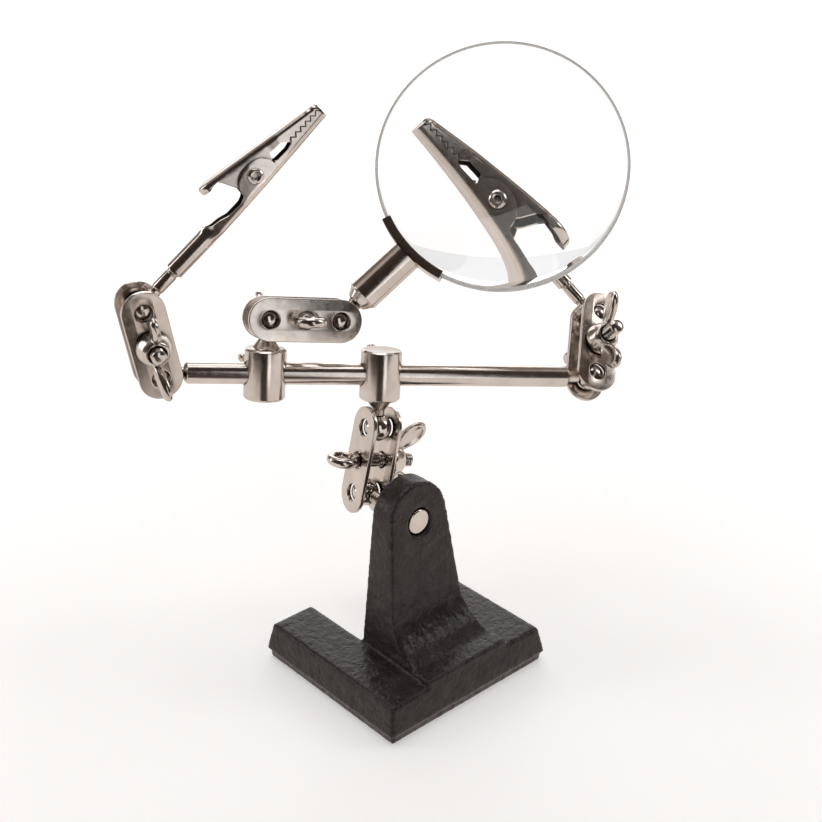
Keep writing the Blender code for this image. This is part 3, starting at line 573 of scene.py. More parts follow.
def eye_bolt_mesh(tip, turn):
    """Bolt along Z, forged into a ring at +Z, threaded at the nut's end."""
    ring_height = PLATE_OUTER + GAP + EYE
    middle = (EYE + EYE_HOLE) / 2
    across = (EYE - EYE_HOLE) / 2
    section = [
        (middle + across * cos(FULL_TURN * i / 24), 1.3 * sin(FULL_TURN * i / 24))
        for i in range(24)
    ]
    ring_turn = turned_about("Z", turn) @ Z_TO_X
    ring = placed(lathe(section, 64, closed=True), moved(0.0, 0.0, ring_height) @ ring_turn)
    shank = lathe([(0.0, ring_height - EYE_HOLE - 0.4), (BOLT, ring_height - EYE_HOLE - 0.4),
                   (BOLT, -2.0), (0.0, -2.0)], 40)
    eye = evaluated(
        combined(ring, shank, "UNION"),
        ("REMESH", {"mode": "VOXEL", "voxel_size": 0.16}),
        ("SMOOTH", {"factor": 0.5, "iterations": 5}),
    )
    thread = screw_thread(BOLT, -PLATE_OUTER - tip + THREAD_DOME, -1.0)
    return combined(eye, thread, "UNION")


def wing_mesh(side):
    """Dished oval wing, rising outwards from the hub."""
    along = Vector((0.74 * side, 0.67))
    across = Vector((-along.y, along.x))
    center = Vector((6.9 * side, 5.8))
    shape = bmesh.new()
    rings = 14
    steps = 48
    faces = []
    for face in (1, -1):
        levels = [[shape.verts.new((center.x, face * 0.42, center.y))]]
        for k in range(1, rings + 1):
            reach = k / rings
            if reach < 0.78:
                thick = 0.42 + 0.62 * (reach / 0.78) ** 2.2
            else:
                thick = 1.04 * sqrt(max(0.0, 1.0 - ((reach - 0.78) / 0.22) ** 2))
            level = []
            for i in range(steps):
                turn = FULL_TURN * i / steps
                wide = 2.85 * (1.0 + 0.14 * cos(turn))
                point = center + along * 5.2 * reach * cos(turn) + across * wide * reach * sin(turn)
                twist = 0.55 * reach * cos(turn)
                level.append(shape.verts.new((point.x, face * thick + twist * side, point.y)))
            levels.append(level)
        faces.append(levels)
    for levels in faces:
        skin(shape, zip(levels, levels[1:]), steps)
    return finished(shape)


def wing_nut_mesh():
    """Cast wing nut along +Z: turned hub, two dished wings, fillets where they meet."""
    bore = BOLT + 0.12
    hub = lathe(rounded([
        (1.0, NUT_HEIGHT), (3.0, NUT_HEIGHT), (3.7, NUT_HEIGHT - 1.2), (4.4, 1.3), (4.5, 0.0),
        (1.0, 0.0), (1.0, NUT_HEIGHT),
    ], 0.45)[:-1], 64, closed=True)
    body = combined(hub, wing_mesh(1), "UNION")
    body = combined(body, wing_mesh(-1), "UNION")
    body = evaluated(
        body,
        ("REMESH", {"mode": "VOXEL", "voxel_size": 0.17}),
        ("SMOOTH", {"factor": 0.5, "iterations": 9}),
    )
    drill = lathe([
        (0.0, 9.0), (bore + 0.9, 9.0), (bore + 0.55, NUT_HEIGHT + 0.05), (bore, NUT_HEIGHT - 0.5),
        (bore, -1.0), (0.0, -1.0),
    ], 48)
    return combined(body, drill, "DIFFERENCE")


def clamp_place(name, first, second):
    start = joint_point(first)
    eye_way = node_middle(f"{name}_plate_eye_side") - node_middle(f"{name}_plate_nut_side")
    return frame_at(start, joint_point(second) - start, eye_way)


def wing_direction(name):
    """Direction of the wings, from the model's farthest point off the nut's axis."""
    node = frame["nodes"][f"{name}_wing_nut"]
    joint = name.replace("_clamp", "_nut_turn")
    axis = joint_axis(joint)
    origin = joint_point(joint)
    spans = []
    for vert in node.data.vertices:
        offset = vert.co - origin
        across = offset - axis * offset.dot(axis)
        spans.append((across.length, across))
    spans.sort(key=lambda item: item[0])
    best = max(spans[-8:], key=lambda item: item[1].x)
    return best[1].normalized(), axis, origin


def make_clamp(name, first, second, plate, nut):
    place = clamp_place(name, first, second)
    for side, direction in (("eye_side", 1), ("nut_side", -1)):
        height = direction * (PLATE_HALF_GAP + PLATE_THICKNESS / 2)
        copy = placed(plate.copy(), moved(0.0, 0.0, height))
        node = f"{name}_plate_{side}"
        piece(f"{node}_stamped", copy, place, name, "clamp_plate", node)
    bolt = placed(eye_bolt_mesh(BOLT_TIPS[name], EYE_ANGLES[name]),
                  moved(CLAMP_SPACING / 2, 0.0, 0.0))
    piece(f"{name}_forged_eye_bolt", bolt, place, name, "bolt", f"{name}_eye_bolt", angle=50.0)
    wings, axis, origin = wing_direction(name)
    seat = frame_at(origin, wings, axis)
    outward = origin - joint_point(first)
    if outward.dot(axis) < 0:
        seat = frame_at(origin, wings, -axis)
    nut_body = name.replace("_clamp", "_wing_nut")
    piece(f"{name}_cast_wing_nut", nut.copy(), seat, nut_body, "wing_nut", f"{name}_wing_nut",
          angle=50.0)


# ---------------------------------------------------------------- bar and collars

def make_bar():
    center = joint_point("crossbar_roll")
    left = joint_point("left_clamp_swing")
    right = joint_point("right_clamp_swing")
    place = frame_at(center, right - left, Vector((0.0, 0.0, 1.0)))
    low = -(left - center).length / MM
    high = (right - center).length / MM
    upper = [(NECK - 0.1, high - NECK_START), (NECK, high - NECK_START - 0.2), (NECK, high - 6.5)]
    body = [
        (2.1, high - 6.6), (BAR, high - 7.35), (BAR, low + 7.35), (2.1, low + 6.6),
    ]
    lower = [(NECK, low + 6.5), (NECK, low + NECK_START + 0.2), (NECK - 0.1, low + NECK_START)]
    bar = placed(rod([*upper, *body, *lower], 0.14), Z_TO_X)
    piece("polished_crossbar", bar, place, "crossbar", "bright_rod", "crossbar")
    for side, at, turn in (("left", left, Z_TO_X), ("right", right, turned_about("Y", -90))):
        ball_place = frame_at(at, right - left, Vector((0.0, 0.0, 1.0)))
        ball = placed(ball_mesh(), turn)
        piece(f"bar_{side}_round_ball", ball, ball_place, f"{side}_bar_ball", "ball",
              f"bar_{side}_ball")


def collar_mesh(side):
    """Cross-drilled collar, its ball end towards +Z, its screw towards Y times side."""
    profile = [
        *neck(COLLAR_BALL - NECK_START, COLLAR_BALL - 4.9, 2), (3.5, COLLAR_HALF + 0.15),
        (3.75, COLLAR_HALF), (COLLAR - 0.55, COLLAR_HALF), (COLLAR, COLLAR_HALF - 0.55),
        (COLLAR, 0.55 - COLLAR_HALF), (COLLAR - 0.55, -COLLAR_HALF),
    ]
    body = rod(profile, 0.12, 96)
    plain = placed(lathe([(0.0, 12.0), (3.08, 12.0), (3.08, -12.0), (0.0, -12.0)], 64), Z_TO_X)
    body = combined(body, plain, "DIFFERENCE")
    turn = Z_TO_Y if side > 0 else turned_about("X", 90)
    tap = placed(lathe([(0.0, 12.0), (1.7, 12.0), (1.7, 0.0), (0.0, 0.0)], 32), turn)
    return combined(body, tap, "DIFFERENCE")


def make_collar(prefix, place, body, side):
    piece(f"{prefix}_turned", collar_mesh(side), place, body, "bright_rod", prefix)


def make_screw(prefix, joint, body):
    """Set screw with its tommy bar, standing out along the joint's axis."""
    origin = joint_point(joint)
    axis = node_middle(f"{prefix}_screw") - origin
    tommy = node_middle(f"{prefix}_tommy_bar") - origin
    verts = [vert.co for vert in frame["nodes"][f"{prefix}_tommy_bar"].data.vertices]
    middle = node_middle(f"{prefix}_tommy_bar")
    far = max(verts, key=lambda point: (point - middle).length)
    place = frame_at(origin, far - middle, axis)
    reach = tommy.dot(axis.normalized()) / MM
    head = rod([
        (1.9, 13.5), (2.6, 12.9), (2.6, 9.0), (2.45, 8.8), (2.45, 8.5), (2.6, 8.3), (2.6, 8.0),
        (1.6, 8.0), (1.35, 7.6),
        (1.5, 7.2), (1.5, 3.4),
    ], 0.16, 48)
    hole = placed(lathe([(0.0, 4.0), (1.05, 4.0), (1.05, -4.0), (0.0, -4.0)], 24),
                  moved(0.0, 0.0, reach) @ Z_TO_X)
    head = combined(head, hole, "DIFFERENCE")
    piece(f"{prefix}_set_screw", head, place, body, "bolt", f"{prefix}_screw")
    half = 6.2
    end = 1.2
    join = degrees(asin(0.9 / end))
    upper = arc(end, 90.0, -90.0 + join, 14, (0.0, half - end))
    lower = [(radius, -height) for radius, height in reversed(upper)]
    profile = [(0.0, half), *upper[1:], *lower[:-1], (0.0, -half)]
    bar = placed(lathe(profile, 32), moved(0.0, 0.0, reach) @ Z_TO_X)
    piece(f"{prefix}_ball_tommy_bar", bar, place, body, "bolt", f"{prefix}_tommy_bar")


def make_collars():
    center = joint_point("crossbar_roll")
    bar_way = joint_point("right_clamp_swing") - joint_point("left_clamp_swing")
    ball = joint_point("center_collar_spin")
    place = frame_at(center, bar_way, ball - center)
    make_collar("center_collar", place, "center_collar", -1)
    make_screw("center_collar", "center_screw_turn", "center_screw")
    ball_place = frame_at(ball, bar_way, center - ball)
    piece("center_round_ball", ball_mesh(), ball_place, "center_ball", "ball", "center_collar_ball")

    ball = joint_point("magnifier_ball_spin")
    along = bar_way.normalized()
    slider = center + along * (ball - center).dot(along)
    place = frame_at(slider, bar_way, ball - slider)
    make_collar("magnifier_collar", place, "magnifier_collar", 1)
    make_screw("magnifier_collar", "magnifier_screw_turn", "magnifier_screw")
    ball_place = frame_at(ball, bar_way, slider - ball)
    piece("slider_round_ball", ball_mesh(), ball_place, "magnifier_ball", "ball",
          "magnifier_collar_ball")


# ---------------------------------------------------------------- magnifier

def lens_normal():
    """Direction square to the lens, from the model's points on its two faces."""
    verts = [vert.co for vert in frame["nodes"]["lens"].data.vertices]
    middle = node_middle("lens")
    near = min(verts, key=lambda point: (point - middle).length)
    return near - middle


def sag(radius):
    return LENS_CURVATURE - sqrt(LENS_CURVATURE ** 2 - radius ** 2)


def lens_mesh():
    rim = LENS - GROUND_WIDTH
    front = []
    for i in range(29):
        radius = rim * i / 28
        front.append((radius, LENS_EDGE / 2 + sag(LENS - 0.4) - sag(radius)))
    edge = LENS_EDGE / 2 - 0.4
    back = [(radius, -height) for radius, height in reversed(front)]
    return lathe([*front, (LENS, edge), (LENS, -edge), *back], 144)


def on_ground_edge(face):
    axis_point = Vector((LENS_REACH, 0.0, face.center.z))
    return (face.center - axis_point).length > LENS - GROUND_WIDTH


def cradle_mesh():
    """Channel that holds the lens's edge, about Z, its middle towards -X."""
    inner = LENS + 0.15
    outer = LENS + 1.1
    lip = LENS - 1.4
    wide = 2.7
    narrow = 1.9
    section = rounded([
        (inner, 0.0), (inner, narrow), (lip, narrow), (lip, wide), (outer, wide), (outer, -wide),
        (lip, -wide), (lip, -narrow), (inner, -narrow), (inner, 0.0),
    ], 0.35)[:-1]
    shape = bmesh.new()
    steps = 40
    rings = []
    for k in range(steps + 1):
        angle = pi - CRADLE_HALF_ANGLE + 2 * CRADLE_HALF_ANGLE * k / steps
        rings.append([shape.verts.new((r * cos(angle), r * sin(angle), z)) for r, z in section])
    for first, second in zip(rings, rings[1:]):
        for i in range(len(section)):
            j = (i + 1) % len(section)
            shape.faces.new((first[i], first[j], second[j], second[i]))
    shape.faces.new(rings[0])
    shape.faces.new(reversed(rings[-1]))
    return finished(shape)


def make_magnifier():
    ball = joint_point("handle_ball_swing")
    reach = node_middle("lens") - ball
    place = frame_at(ball, reach, lens_normal())
    piece("handle_round_ball", placed(ball_mesh(), Z_TO_X), place, "handle_ball", "ball",
          "magnifier_handle_ball")
    profile = [
        (HANDLE, 27.0), (HANDLE, 9.2), (HANDLE - 0.5, 8.7), (NECK + 1.2, 6.9), (NECK + 1.0, 6.7),
        (NECK + 0.35, 6.5), (NECK + 0.35, 6.1), (NECK + 0.1, 5.9), (NECK, 5.2), (NECK, NECK_START),
    ]
    handle = placed(rod(profile, 0.12, 96), Z_TO_X)
    seat = lathe([(0.0, 12.0), (LENS + 1.12, 12.0), (LENS + 1.12, -12.0), (0.0, -12.0)], 240)
    seat = placed(seat, moved(LENS_REACH, 0.0, 0.0))
    handle = combined(handle, seat, "DIFFERENCE")
    piece("turned_handle", handle, place, "magnifier", "bright_rod", "magnifier_handle")
    cradle = placed(cradle_mesh(), moved(LENS_REACH, 0.0, 0.0))
    piece("pressed_cradle", cradle, place, "magnifier", "bright_rod", "lens_cradle")
    lens = placed(lens_mesh(), moved(LENS_REACH, 0.0, 0.0))
    piece("ground_lens", lens, place, "magnifier", "lens_glass", "lens", angle=20.0,
          second=GROUND_EDGE, chosen=on_ground_edge)


# ---------------------------------------------------------------- spring clips

def between(points, x):
    """Height of a polyline of (x, value) at x."""
    if x <= points[0][0]:
        return points[0][1]
    for (x0, y0), (x1, y1) in zip(points, points[1:]):
        if x <= x1:
            return y0 + (y1 - y0) * (x - x0) / (x1 - x0)
    return points[-1][1]


def eased(t):
    t = min(1.0, max(0.0, t))
    return t * t * (3 - 2 * t)


def tooth(x):
    """Height of the saw-tooth bite line above its valleys."""
    if x < TEETH_START or x > TEETH_END:
        return 0.0
    phase = ((TEETH_END - x) / TOOTH_PITCH) % 1.0
    return TOOTH_DEPTH * abs(1.0 - 2.0 * phase)


LOWER_BOTTOM = [(12.2, -2.3), (23.5, -2.3), (CLIP_TIP, -0.6)]
LOWER_WIDTH = [(12.2, 2.3), (23.5, 2.3), (29.0, 2.9), (36.0, 3.6), (43.2, 3.9), (52.0, 3.5),
               (CLIP_TIP, 2.2)]
LOWER_TOP = [(12.2, 2.3), (22.5, 2.3), (24.6, 2.35), (26.6, 1.2), (29.0, 0.9), (31.5, 0.1),
             (35.4, 0.0), (36.8, 0.5), (37.3, 0.9)]
UPPER_BACK = [(30.6, 9.8), (35.0, 9.1), (40.0, 8.2), (47.0, 6.9), (CLIP_TIP, 3.5)]
UPPER_WIDTH = [(33.0, 2.95), (50.0, 2.95), (53.0, 3.1), (CLIP_TIP, 2.2)]
UPPER_SKIRT = [
    (30.6, 7.6), (32.8, 7.3), (33.6, 7.6), (35.4, 7.6), (36.0, 6.6), (37.4, 3.7), (39.0, 1.6),
    (41.0, 0.5), (45.0, 0.5), (48.3, 1.4), (49.2, 3.3), (52.8, 3.2),
]
WINDOW_FLOOR = [(EAR_END, 1.9), (49.2, 0.95), (52.8, 0.85)]
TOOTH_BREAKS = [TEETH_END - TOOTH_PITCH * i / 2 for i in range(TOOTH_COUNT * 2 + 1)]


def lower_top(x):
    """Top edge of the lower jaw's walls: tail, ear, window, teeth."""
    if x < EAR_START:
        return between(LOWER_TOP, x)
    if x >= TEETH_START:
        return BITE + TOOTH_DEPTH - tooth(x)
    if x > EAR_END:
        return between([*WINDOW_FLOOR, (TEETH_START, BITE)], x)
    offset = abs(x - RIVET_X) / EAR_HALF
    return EAR_BASE + EAR_RISE * sqrt(max(0.0, 1.0 - offset ** 2.4))


def upper_skirt(x):
    """Lower edge of the upper jaw's walls."""
    if x >= TEETH_START:
        return BITE + TOOTH_DEPTH - tooth(x) + JAW_GAP
    return between([*UPPER_SKIRT, (TEETH_START, BITE + JAW_GAP)], x)


def stations(start, end, breaks):
    """Places along a jaw: every break, and even steps between them."""
    marks = sorted({start, end, *[mark for mark in breaks if start < mark < end]})
    result = []
    for first, second in zip(marks, marks[1:]):
        count = max(1, int((second - first) / 0.45 + 0.5))
        result += [first + (second - first) * i / count for i in range(count)]
    result.append(end)
    return result


def wall_section(half, floor, top, corner, count=(7, 5, 5)):
    """Half of a U section, from a wall's top down and in to the middle of the floor."""
    wall, turn, flat = count
    height = top - floor
    size = min(abs(height) * 0.8, corner, half * 0.8)
    way = 1.0 if height > 0 else -1.0
    points = []
    for i in range(wall):
        points.append((half, top + (floor + way * size - top) * i / wall))
    for i in range(turn):
        angle = pi / 2 * i / turn
        points.append((half - size + size * cos(angle), floor + way * (size - size * sin(angle))))
    for i in range(flat):
        points.append(((half - size) * (1 - i / (flat - 1)), floor))
    return points


def tube_section(radius, seam, count):
    """Half of a round section, from its seam at the top round to the bottom."""
    points = []
    for i in range(count):
        angle = radians(90.0 - seam - (180.0 - seam) * i / (count - 1))
        points.append((radius * cos(angle), radius * sin(angle)))
    return points


def end_wall(section, top):
    """Sections that close a jaw's tip, folded across it up to a height."""
    x, points = section
    return [
        (x, [(y * (1 - 0.04 * lift), z + (top - z) * lift) for y, z in points])
        for lift in (0.5, 0.97)
    ]


def sheet_jaw(sections):
    """Folded sheet from half sections along X, mirrored, given thickness and softened edges."""
    shape = bmesh.new()
    rows = []
    for x, half in sections:
        right = [shape.verts.new((x, y, z)) for y, z in half]
        left = [shape.verts.new((x, -y, z)) for y, z in reversed(half[:-1])]
        rows.append(right + left)
    for first, second in zip(rows, rows[1:]):
        for i in range(len(first) - 1):
            shape.faces.new((first[i], first[i + 1], second[i + 1], second[i]))
    bmesh.ops.remove_doubles(shape, verts=shape.verts, dist=0.0005)
    bmesh.ops.dissolve_degenerate(shape, edges=shape.edges, dist=0.0005)
    bmesh.ops.recalc_face_normals(shape, faces=shape.faces)
    mesh = bpy.data.meshes.new("sheet")
    shape.to_mesh(mesh)
    shape.free()
    return evaluated(
        mesh,
        ("SOLIDIFY", {"thickness": SHEET, "offset": 0.0, "use_quality_normals": True}),
        ("BEVEL", {"width": 0.09, "segments": 2, "limit_method": "ANGLE",
                   "angle_limit": radians(50.0)}),
    )


def lower_jaw_mesh():
    breaks = [22.5, 24.6, 26.6, 36.0, 37.3, 37.5, 38.0, 38.8, 48.0, 48.3, 49.2, 52.8, *TOOTH_BREAKS]
    inset = SHEET / 2
    sections = []
    for x in stations(12.2, CLIP_TIP - inset, breaks):
        half = between(LOWER_WIDTH, x) - inset
        floor = between(LOWER_BOTTOM, x) + inset
        channel = wall_section(half, floor, lower_top(x), 1.1)
        tube = tube_section(2.3 - inset, 4.0, len(channel))
        blend = eased((x - 22.6) / 5.0)
        sections.append((x, [
            (a[0] * blend + b[0] * (1 - blend), a[1] * blend + b[1] * (1 - blend))
            for a, b in zip(channel, tube)
        ]))
    return sheet_jaw([*sections, *end_wall(sections[-1], lower_top(CLIP_TIP) - 0.3)])


def upper_jaw_mesh():
    breaks = [33.6, 35.4, 36.0, 37.4, 39.0, 41.0, 45.0, 48.3, 49.2, 52.8, *TOOTH_BREAKS]
    inset = SHEET / 2
    sections = []
    lever = 30.6 + inset
    for i in range(14):
        turn = pi / 2 * i / 14
        x = lever + (33.0 - lever) * (1 - cos(turn))
        half = (2.95 - inset) * max(0.06, sin(turn))
        floor = between(UPPER_BACK, x) - inset - 0.5 * (1 - sin(turn))
        sections.append((x, wall_section(half, floor, upper_skirt(x), 1.2 * max(0.1, sin(turn)))))
    for x in stations(33.0, CLIP_TIP - inset, breaks):
        half = between(UPPER_WIDTH, x) - inset
        floor = between(UPPER_BACK, x) - inset
        sections.append((x, wall_section(half, floor, upper_skirt(x), 1.0)))
    return sheet_jaw([*sections, *end_wall(sections[-1], upper_skirt(CLIP_TIP) + 0.3)])


def inside_jaw(face):
    """Whether a face looks into a jaw's channel; such faces get the painted shade material."""
    inwards = Vector((0.0, -face.center.y, CHANNEL_MIDDLE - face.center.z)).normalized()
    return face.normal.dot(inwards) > 0.4


def spring_mesh():
    """Torsion spring round the rivet with its two legs."""
    radius = 1.9
    turns = 2.5
    pitch = 0.75
    per_turn = 36
    count = int(turns * per_turn)
    points = []
    for i in range(count + 1):
        turn = radians(-100.0) - FULL_TURN * i / per_turn
        points.append(Vector((
            RIVET_X + radius * cos(turn), -turns * pitch / 2 + pitch * i / per_turn,
            RIVET_Z + radius * sin(turn),
        )))
    points.insert(0, points[0] + Vector((-4.5, 0.0, -0.3)))
    points.append(points[-1] + Vector((-2.2, 0.0, 1.6)))
    curve = bpy.data.curves.new("spring", "CURVE")
    curve.dimensions = "3D"
    curve.bevel_depth = 0.3
    curve.bevel_resolution = 3
    curve.use_fill_caps = True
    spline = curve.splines.new("POLY")
    spline.points.add(len(points) - 1)
    for point, position in zip(spline.points, points):
        point.co = (*position, 1.0)
    return curve_mesh(curve)


def make_clip(side, meshes):
    ball = joint_point(f"{side}_clip_swing")
    rivet = joint_point(f"{side}_jaw_open")
    axis = joint_axis(f"{side}_clip_spin")
    if axis.dot(rivet - ball) < 0:
        axis = -axis
    place = frame_at(ball, axis, rivet - ball)
    body = f"{side}_clip"
    piece(f"{side}_clip_round_ball", placed(ball_mesh(), Z_TO_X), place, f"{side}_clip_ball",
          "ball", f"{side}_clip_ball")
    stem = rod([
        (1.7, 22.0), (1.7, 11.9), (1.55, 11.75), (1.55, 11.35), (1.7, 11.2), (1.7, 6.4), (1.5, 6.1),
        (1.5, 5.8), *neck(5.6, NECK_START, 2)[1:],
    ], 0.12)
    piece(f"{side}_clip_turned_stem", placed(stem, Z_TO_X), place, body, "bright_rod",
          f"{side}_clip_stem")
    lower, upper, spring = meshes
    drill = placed(lathe([(0.0, 12.0), (1.3, 12.0), (1.3, -12.0), (0.0, -12.0)], 32),
                   moved(RIVET_X, 0.0, RIVET_Z) @ Z_TO_Y)
    for part, mesh, part_body in (("lower", lower, body), ("upper", upper, f"{side}_jaw")):
        # Faces looking into the channel get the painted shade copy of the sheet nickel.
        piece(f"{side}_clip_pressed_{part}_jaw", combined(mesh.copy(), drill, "DIFFERENCE"), place,
              part_body, "clip_sheet", f"{side}_clip_{part}_jaw",
              second=CLIP_INSIDE_SHADE, chosen=inside_jaw)
    half = rounded([(0.62, 3.2), (0.75, 4.45), (1.35, 4.6), (1.9, 4.2), (1.9, 3.98), (1.12, 3.98),
                    (1.12, 0.0)], 0.16)
    mirrored = [(radius, -height) for radius, height in reversed(half[:-1])]
    rivet_mesh = placed(lathe([*half, *mirrored], 40, closed=True),
                        moved(RIVET_X, 0.0, RIVET_Z) @ Z_TO_Y)
    piece(f"{side}_clip_hollow_rivet", rivet_mesh, place, body, "rivet", f"{side}_clip_rivet")
    piece(f"{side}_clip_coil_spring", spring.copy(), place, body, "spring_wire",
          f"{side}_clip_spring")


# ---------------------------------------------------------------- floor, light, camera

CAMERA_RIGHT = Vector((0.744, -0.668, 0.0))
CAMERA_BACK = Vector((-0.601, -0.669, 0.437))
CAMERA_PLACE = Vector((-0.2025, -0.2277, 0.2233))
CAMERA_LENS = 59.1
FLOOR_COLOR = (0.93, 0.93, 0.93, 1.0)
MIRROR_TAN = (0.78, 0.71, 0.66)
MIRROR_DARK = (0.06, 0.044, 0.035)
WEDGE_FADE = (0.30, 0.48)
WORLD_STRENGTH = 0.93


def make_stage():
    """Plain pale floor that polished metal mirrors darker than it looks.

    Glossy rays meet a tan floor with a dark wedge on the viewer's side, as if a dark room
    were mirrored there. Rays that have passed through the lens still see the pale floor.
    """
    shape = bmesh.new()
    bmesh.ops.create_grid(shape, x_segments=1, y_segments=1, size=6.0)
    mesh = bpy.data.meshes.new("floor")
    shape.to_mesh(mesh)
    shape.free()
    nodes = Nodes("pale_floor")
    nodes.shader.inputs["Base Color"].default_value = FLOOR_COLOR
    nodes.shader.inputs["Roughness"].default_value = 0.9
    nodes.shader.inputs["Specular IOR Level"].default_value = 0.1
    nodes.shader.inputs["Emission Color"].default_value = (1.0, 1.0, 1.0, 1.0)
    length = nodes.add("ShaderNodeVectorMath", operation="LENGTH")
    nodes.link(nodes.place, length.inputs[0])
    glow = nodes.spread(length.outputs["Value"], 0.42, 0.92, 0.10, 0.7)
    nodes.link(glow, nodes.shader.inputs["Emission Strength"])
    ahead = nodes.add("ShaderNodeVectorMath", operation="DOT_PRODUCT")
    ahead.inputs[1].default_value = CAMERA_BACK
    nodes.link(nodes.place, ahead.inputs[0])
    aside = nodes.add("ShaderNodeVectorMath", operation="DOT_PRODUCT")
    aside.inputs[1].default_value = CAMERA_RIGHT
    nodes.link(nodes.place, aside.inputs[0])
    turn = nodes.add("ShaderNodeMath", operation="DIVIDE")
    nodes.link(aside.outputs["Value"], turn.inputs[0])
    nodes.link(ahead.outputs["Value"], turn.inputs[1])
    width = nodes.add("ShaderNodeMath", operation="ABSOLUTE")
    nodes.link(turn.outputs["Value"], width.inputs[0])
    near = nodes.spread(ahead.outputs["Value"], 0.0, 1.0, 0.05, 0.12)
    narrow = nodes.spread(width.outputs["Value"], 1.0, 0.0, *WEDGE_FADE)
    shade = nodes.add("ShaderNodeMath", operation="MULTIPLY")
    nodes.link(near, shade.inputs[0])
    nodes.link(narrow, shade.inputs[1])
    mirror = nodes.add("ShaderNodeEmission")
    color = nodes.ramp(shade.outputs["Value"], [(0.0, MIRROR_TAN), (1.0, MIRROR_DARK)])
    nodes.link(color, mirror.inputs["Color"])
    path = nodes.add("ShaderNodeLightPath")
    mirrored = nodes.add("ShaderNodeMath", operation="SUBTRACT", use_clamp=True)
    nodes.link(path.outputs["Is Glossy Ray"], mirrored.inputs[0])
    nodes.link(path.outputs["Is Transmission Ray"], mirrored.inputs[1])
    mix = nodes.add("ShaderNodeMixShader")
    nodes.link(mirrored.outputs["Value"], mix.inputs["Fac"])
    nodes.link(nodes.shader.outputs["BSDF"], mix.inputs[1])
    nodes.link(mirror.outputs["Emission"], mix.inputs[2])
    nodes.link(mix.outputs["Shader"], nodes.tree.nodes["Material Output"].inputs["Surface"])
    mesh.materials.append(nodes.material)
    floor = bpy.data.objects.new("floor", mesh)
    bpy.context.scene.collection.objects.link(floor)


def area_light(name, place, target, width, height, power, color=(1.0, 1.0, 1.0)):
    data = bpy.data.lights.new(name, "AREA")
    data.shape = "RECTANGLE"
    data.size = width
    data.size_y = height
    data.energy = power
    data.color = color
    light = bpy.data.objects.new(name, data)
    bpy.context.scene.collection.objects.link(light)
    light.visible_camera = False
    place = Vector(place)
    light.matrix_world = Matrix.Translation(place) @ (
        (Vector(target) - place).to_track_quat("-Z", "Y").to_matrix().to_4x4()
    )
    return light


def make_camera():
    data = bpy.data.cameras.new("camera")
    data.lens = CAMERA_LENS
    data.sensor_width = 36.0
    data.clip_start = 0.01
    camera = bpy.data.objects.new("camera", data)
    bpy.context.scene.collection.objects.link(camera)
    back = CAMERA_BACK.normalized()
    right = (CAMERA_RIGHT - back * CAMERA_RIGHT.dot(back)).normalized()
    up = back.cross(right)
    turn = Matrix((right, up, back)).transposed().to_4x4()
    camera.matrix_world = Matrix.Translation(CAMERA_PLACE) @ turn
    bpy.context.scene.camera = camera


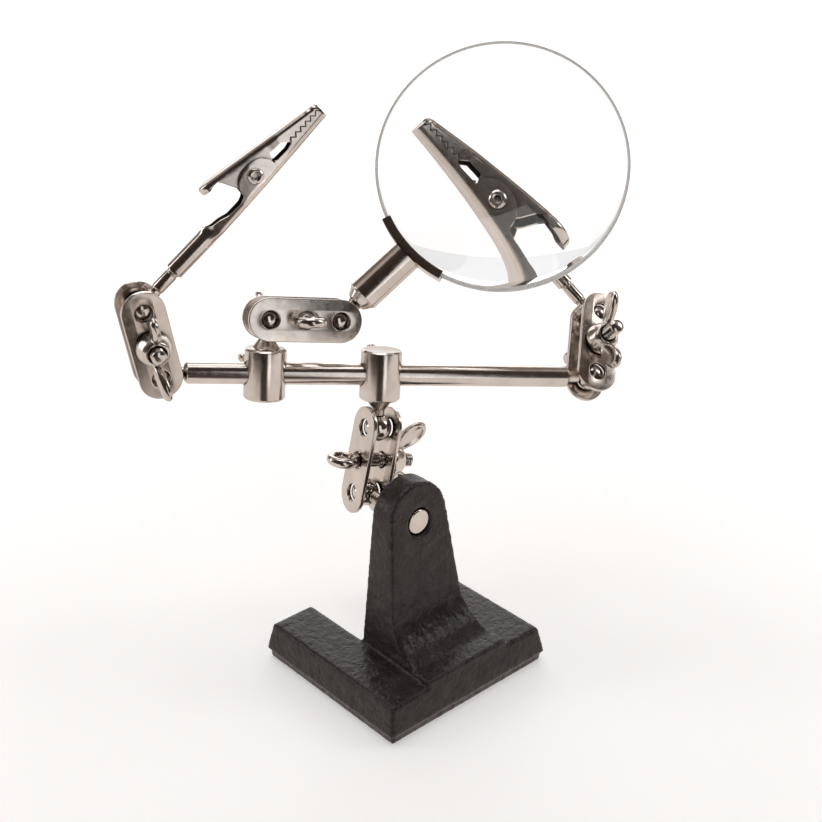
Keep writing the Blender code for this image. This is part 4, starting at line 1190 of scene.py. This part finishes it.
def make_world():
    """White background; metal mirrors a white wall behind it, dim sides and a dark room in front."""
    world = bpy.data.worlds.new("studio")
    bpy.context.scene.world = world
    world.use_nodes = True
    tree = world.node_tree
    tree.nodes.clear()
    out = tree.nodes.new("ShaderNodeOutputWorld")
    light = tree.nodes.new("ShaderNodeBackground")
    seen = tree.nodes.new("ShaderNodeBackground")
    mix = tree.nodes.new("ShaderNodeMixShader")
    path = tree.nodes.new("ShaderNodeLightPath")
    place = tree.nodes.new("ShaderNodeTexCoord")
    dot = tree.nodes.new("ShaderNodeVectorMath")
    dot.operation = "DOT_PRODUCT"
    dot.inputs[1].default_value = Vector((CAMERA_BACK.x, CAMERA_BACK.y, 0.0)).normalized()
    ramp = tree.nodes.new("ShaderNodeValToRGB")
    stops = [
        (0.00, (1.0, 1.0, 1.0)), (0.07, (0.97, 0.96, 0.95)), (0.13, (0.22, 0.175, 0.15)),
        (0.30, (0.15, 0.115, 0.095)), (0.46, (0.50, 0.44, 0.40)), (0.57, (0.13, 0.10, 0.083)),
        (0.62, (0.06, 0.044, 0.035)), (1.00, (0.025, 0.018, 0.014)),
    ]
    elements = ramp.color_ramp.elements
    while len(elements) < len(stops):
        elements.new(0.5)
    for element, (at, color) in zip(elements, stops):
        element.position = at
        element.color = (*color, 1.0)
    scale = tree.nodes.new("ShaderNodeMapRange")
    scale.inputs["From Min"].default_value = -1.0
    tree.links.new(place.outputs["Generated"], dot.inputs[0])
    tree.links.new(dot.outputs["Value"], scale.inputs["Value"])
    tree.links.new(scale.outputs["Result"], ramp.inputs["Fac"])
    tree.links.new(ramp.outputs["Color"], light.inputs["Color"])
    light.inputs["Strength"].default_value = WORLD_STRENGTH
    seen.inputs["Color"].default_value = (1.0, 1.0, 1.0, 1.0)
    tree.links.new(path.outputs["Is Camera Ray"], mix.inputs["Fac"])
    tree.links.new(light.outputs["Background"], mix.inputs[1])
    tree.links.new(seen.outputs["Background"], mix.inputs[2])
    tree.links.new(mix.outputs["Shader"], out.inputs["Surface"])


def make_lights():
    middle = (0.0, 0.0, 0.06)
    area_light("top_box", (0.05, 0.12, 0.75), middle, 0.5, 0.5, 1.3)
    area_light("front_strip", (-0.245, -0.80, 0.32), (-0.03, 0.0, 0.12), 0.26, 0.66, 0.50)
    area_light("side_box", (0.56, -0.36, 0.50), middle, 0.22, 0.32, 0.65)
    area_light("left_box", (-0.55, 0.55, 0.38), middle, 0.20, 0.6, 0.8)
    area_light("back_box", (0.45, 0.60, 0.45), middle, 0.9, 0.6, 1.6)


CLAMP_SPACING = (joint_point("center_ball_swing") - joint_point("lower_clamp_swing")).length / MM
PLATE = plate_mesh()
NUT = wing_nut_mesh()
make_base()
make_clamp("lower_clamp", "lower_clamp_swing", "center_ball_swing", PLATE, NUT)
make_clamp("magnifier_clamp", "magnifier_clamp_swing", "handle_ball_swing", PLATE, NUT)
make_clamp("left_clamp", "left_clamp_swing", "left_clip_swing", PLATE, NUT)
make_clamp("right_clamp", "right_clamp_swing", "right_clip_swing", PLATE, NUT)
make_bar()
make_collars()
make_magnifier()
CLIP_MESHES = (lower_jaw_mesh(), upper_jaw_mesh(), spring_mesh())
make_clip("left", CLIP_MESHES)
make_clip("right", CLIP_MESHES)
make_stage()
make_camera()
make_world()
make_lights()
bpy.context.scene.view_settings.view_transform = "Standard"
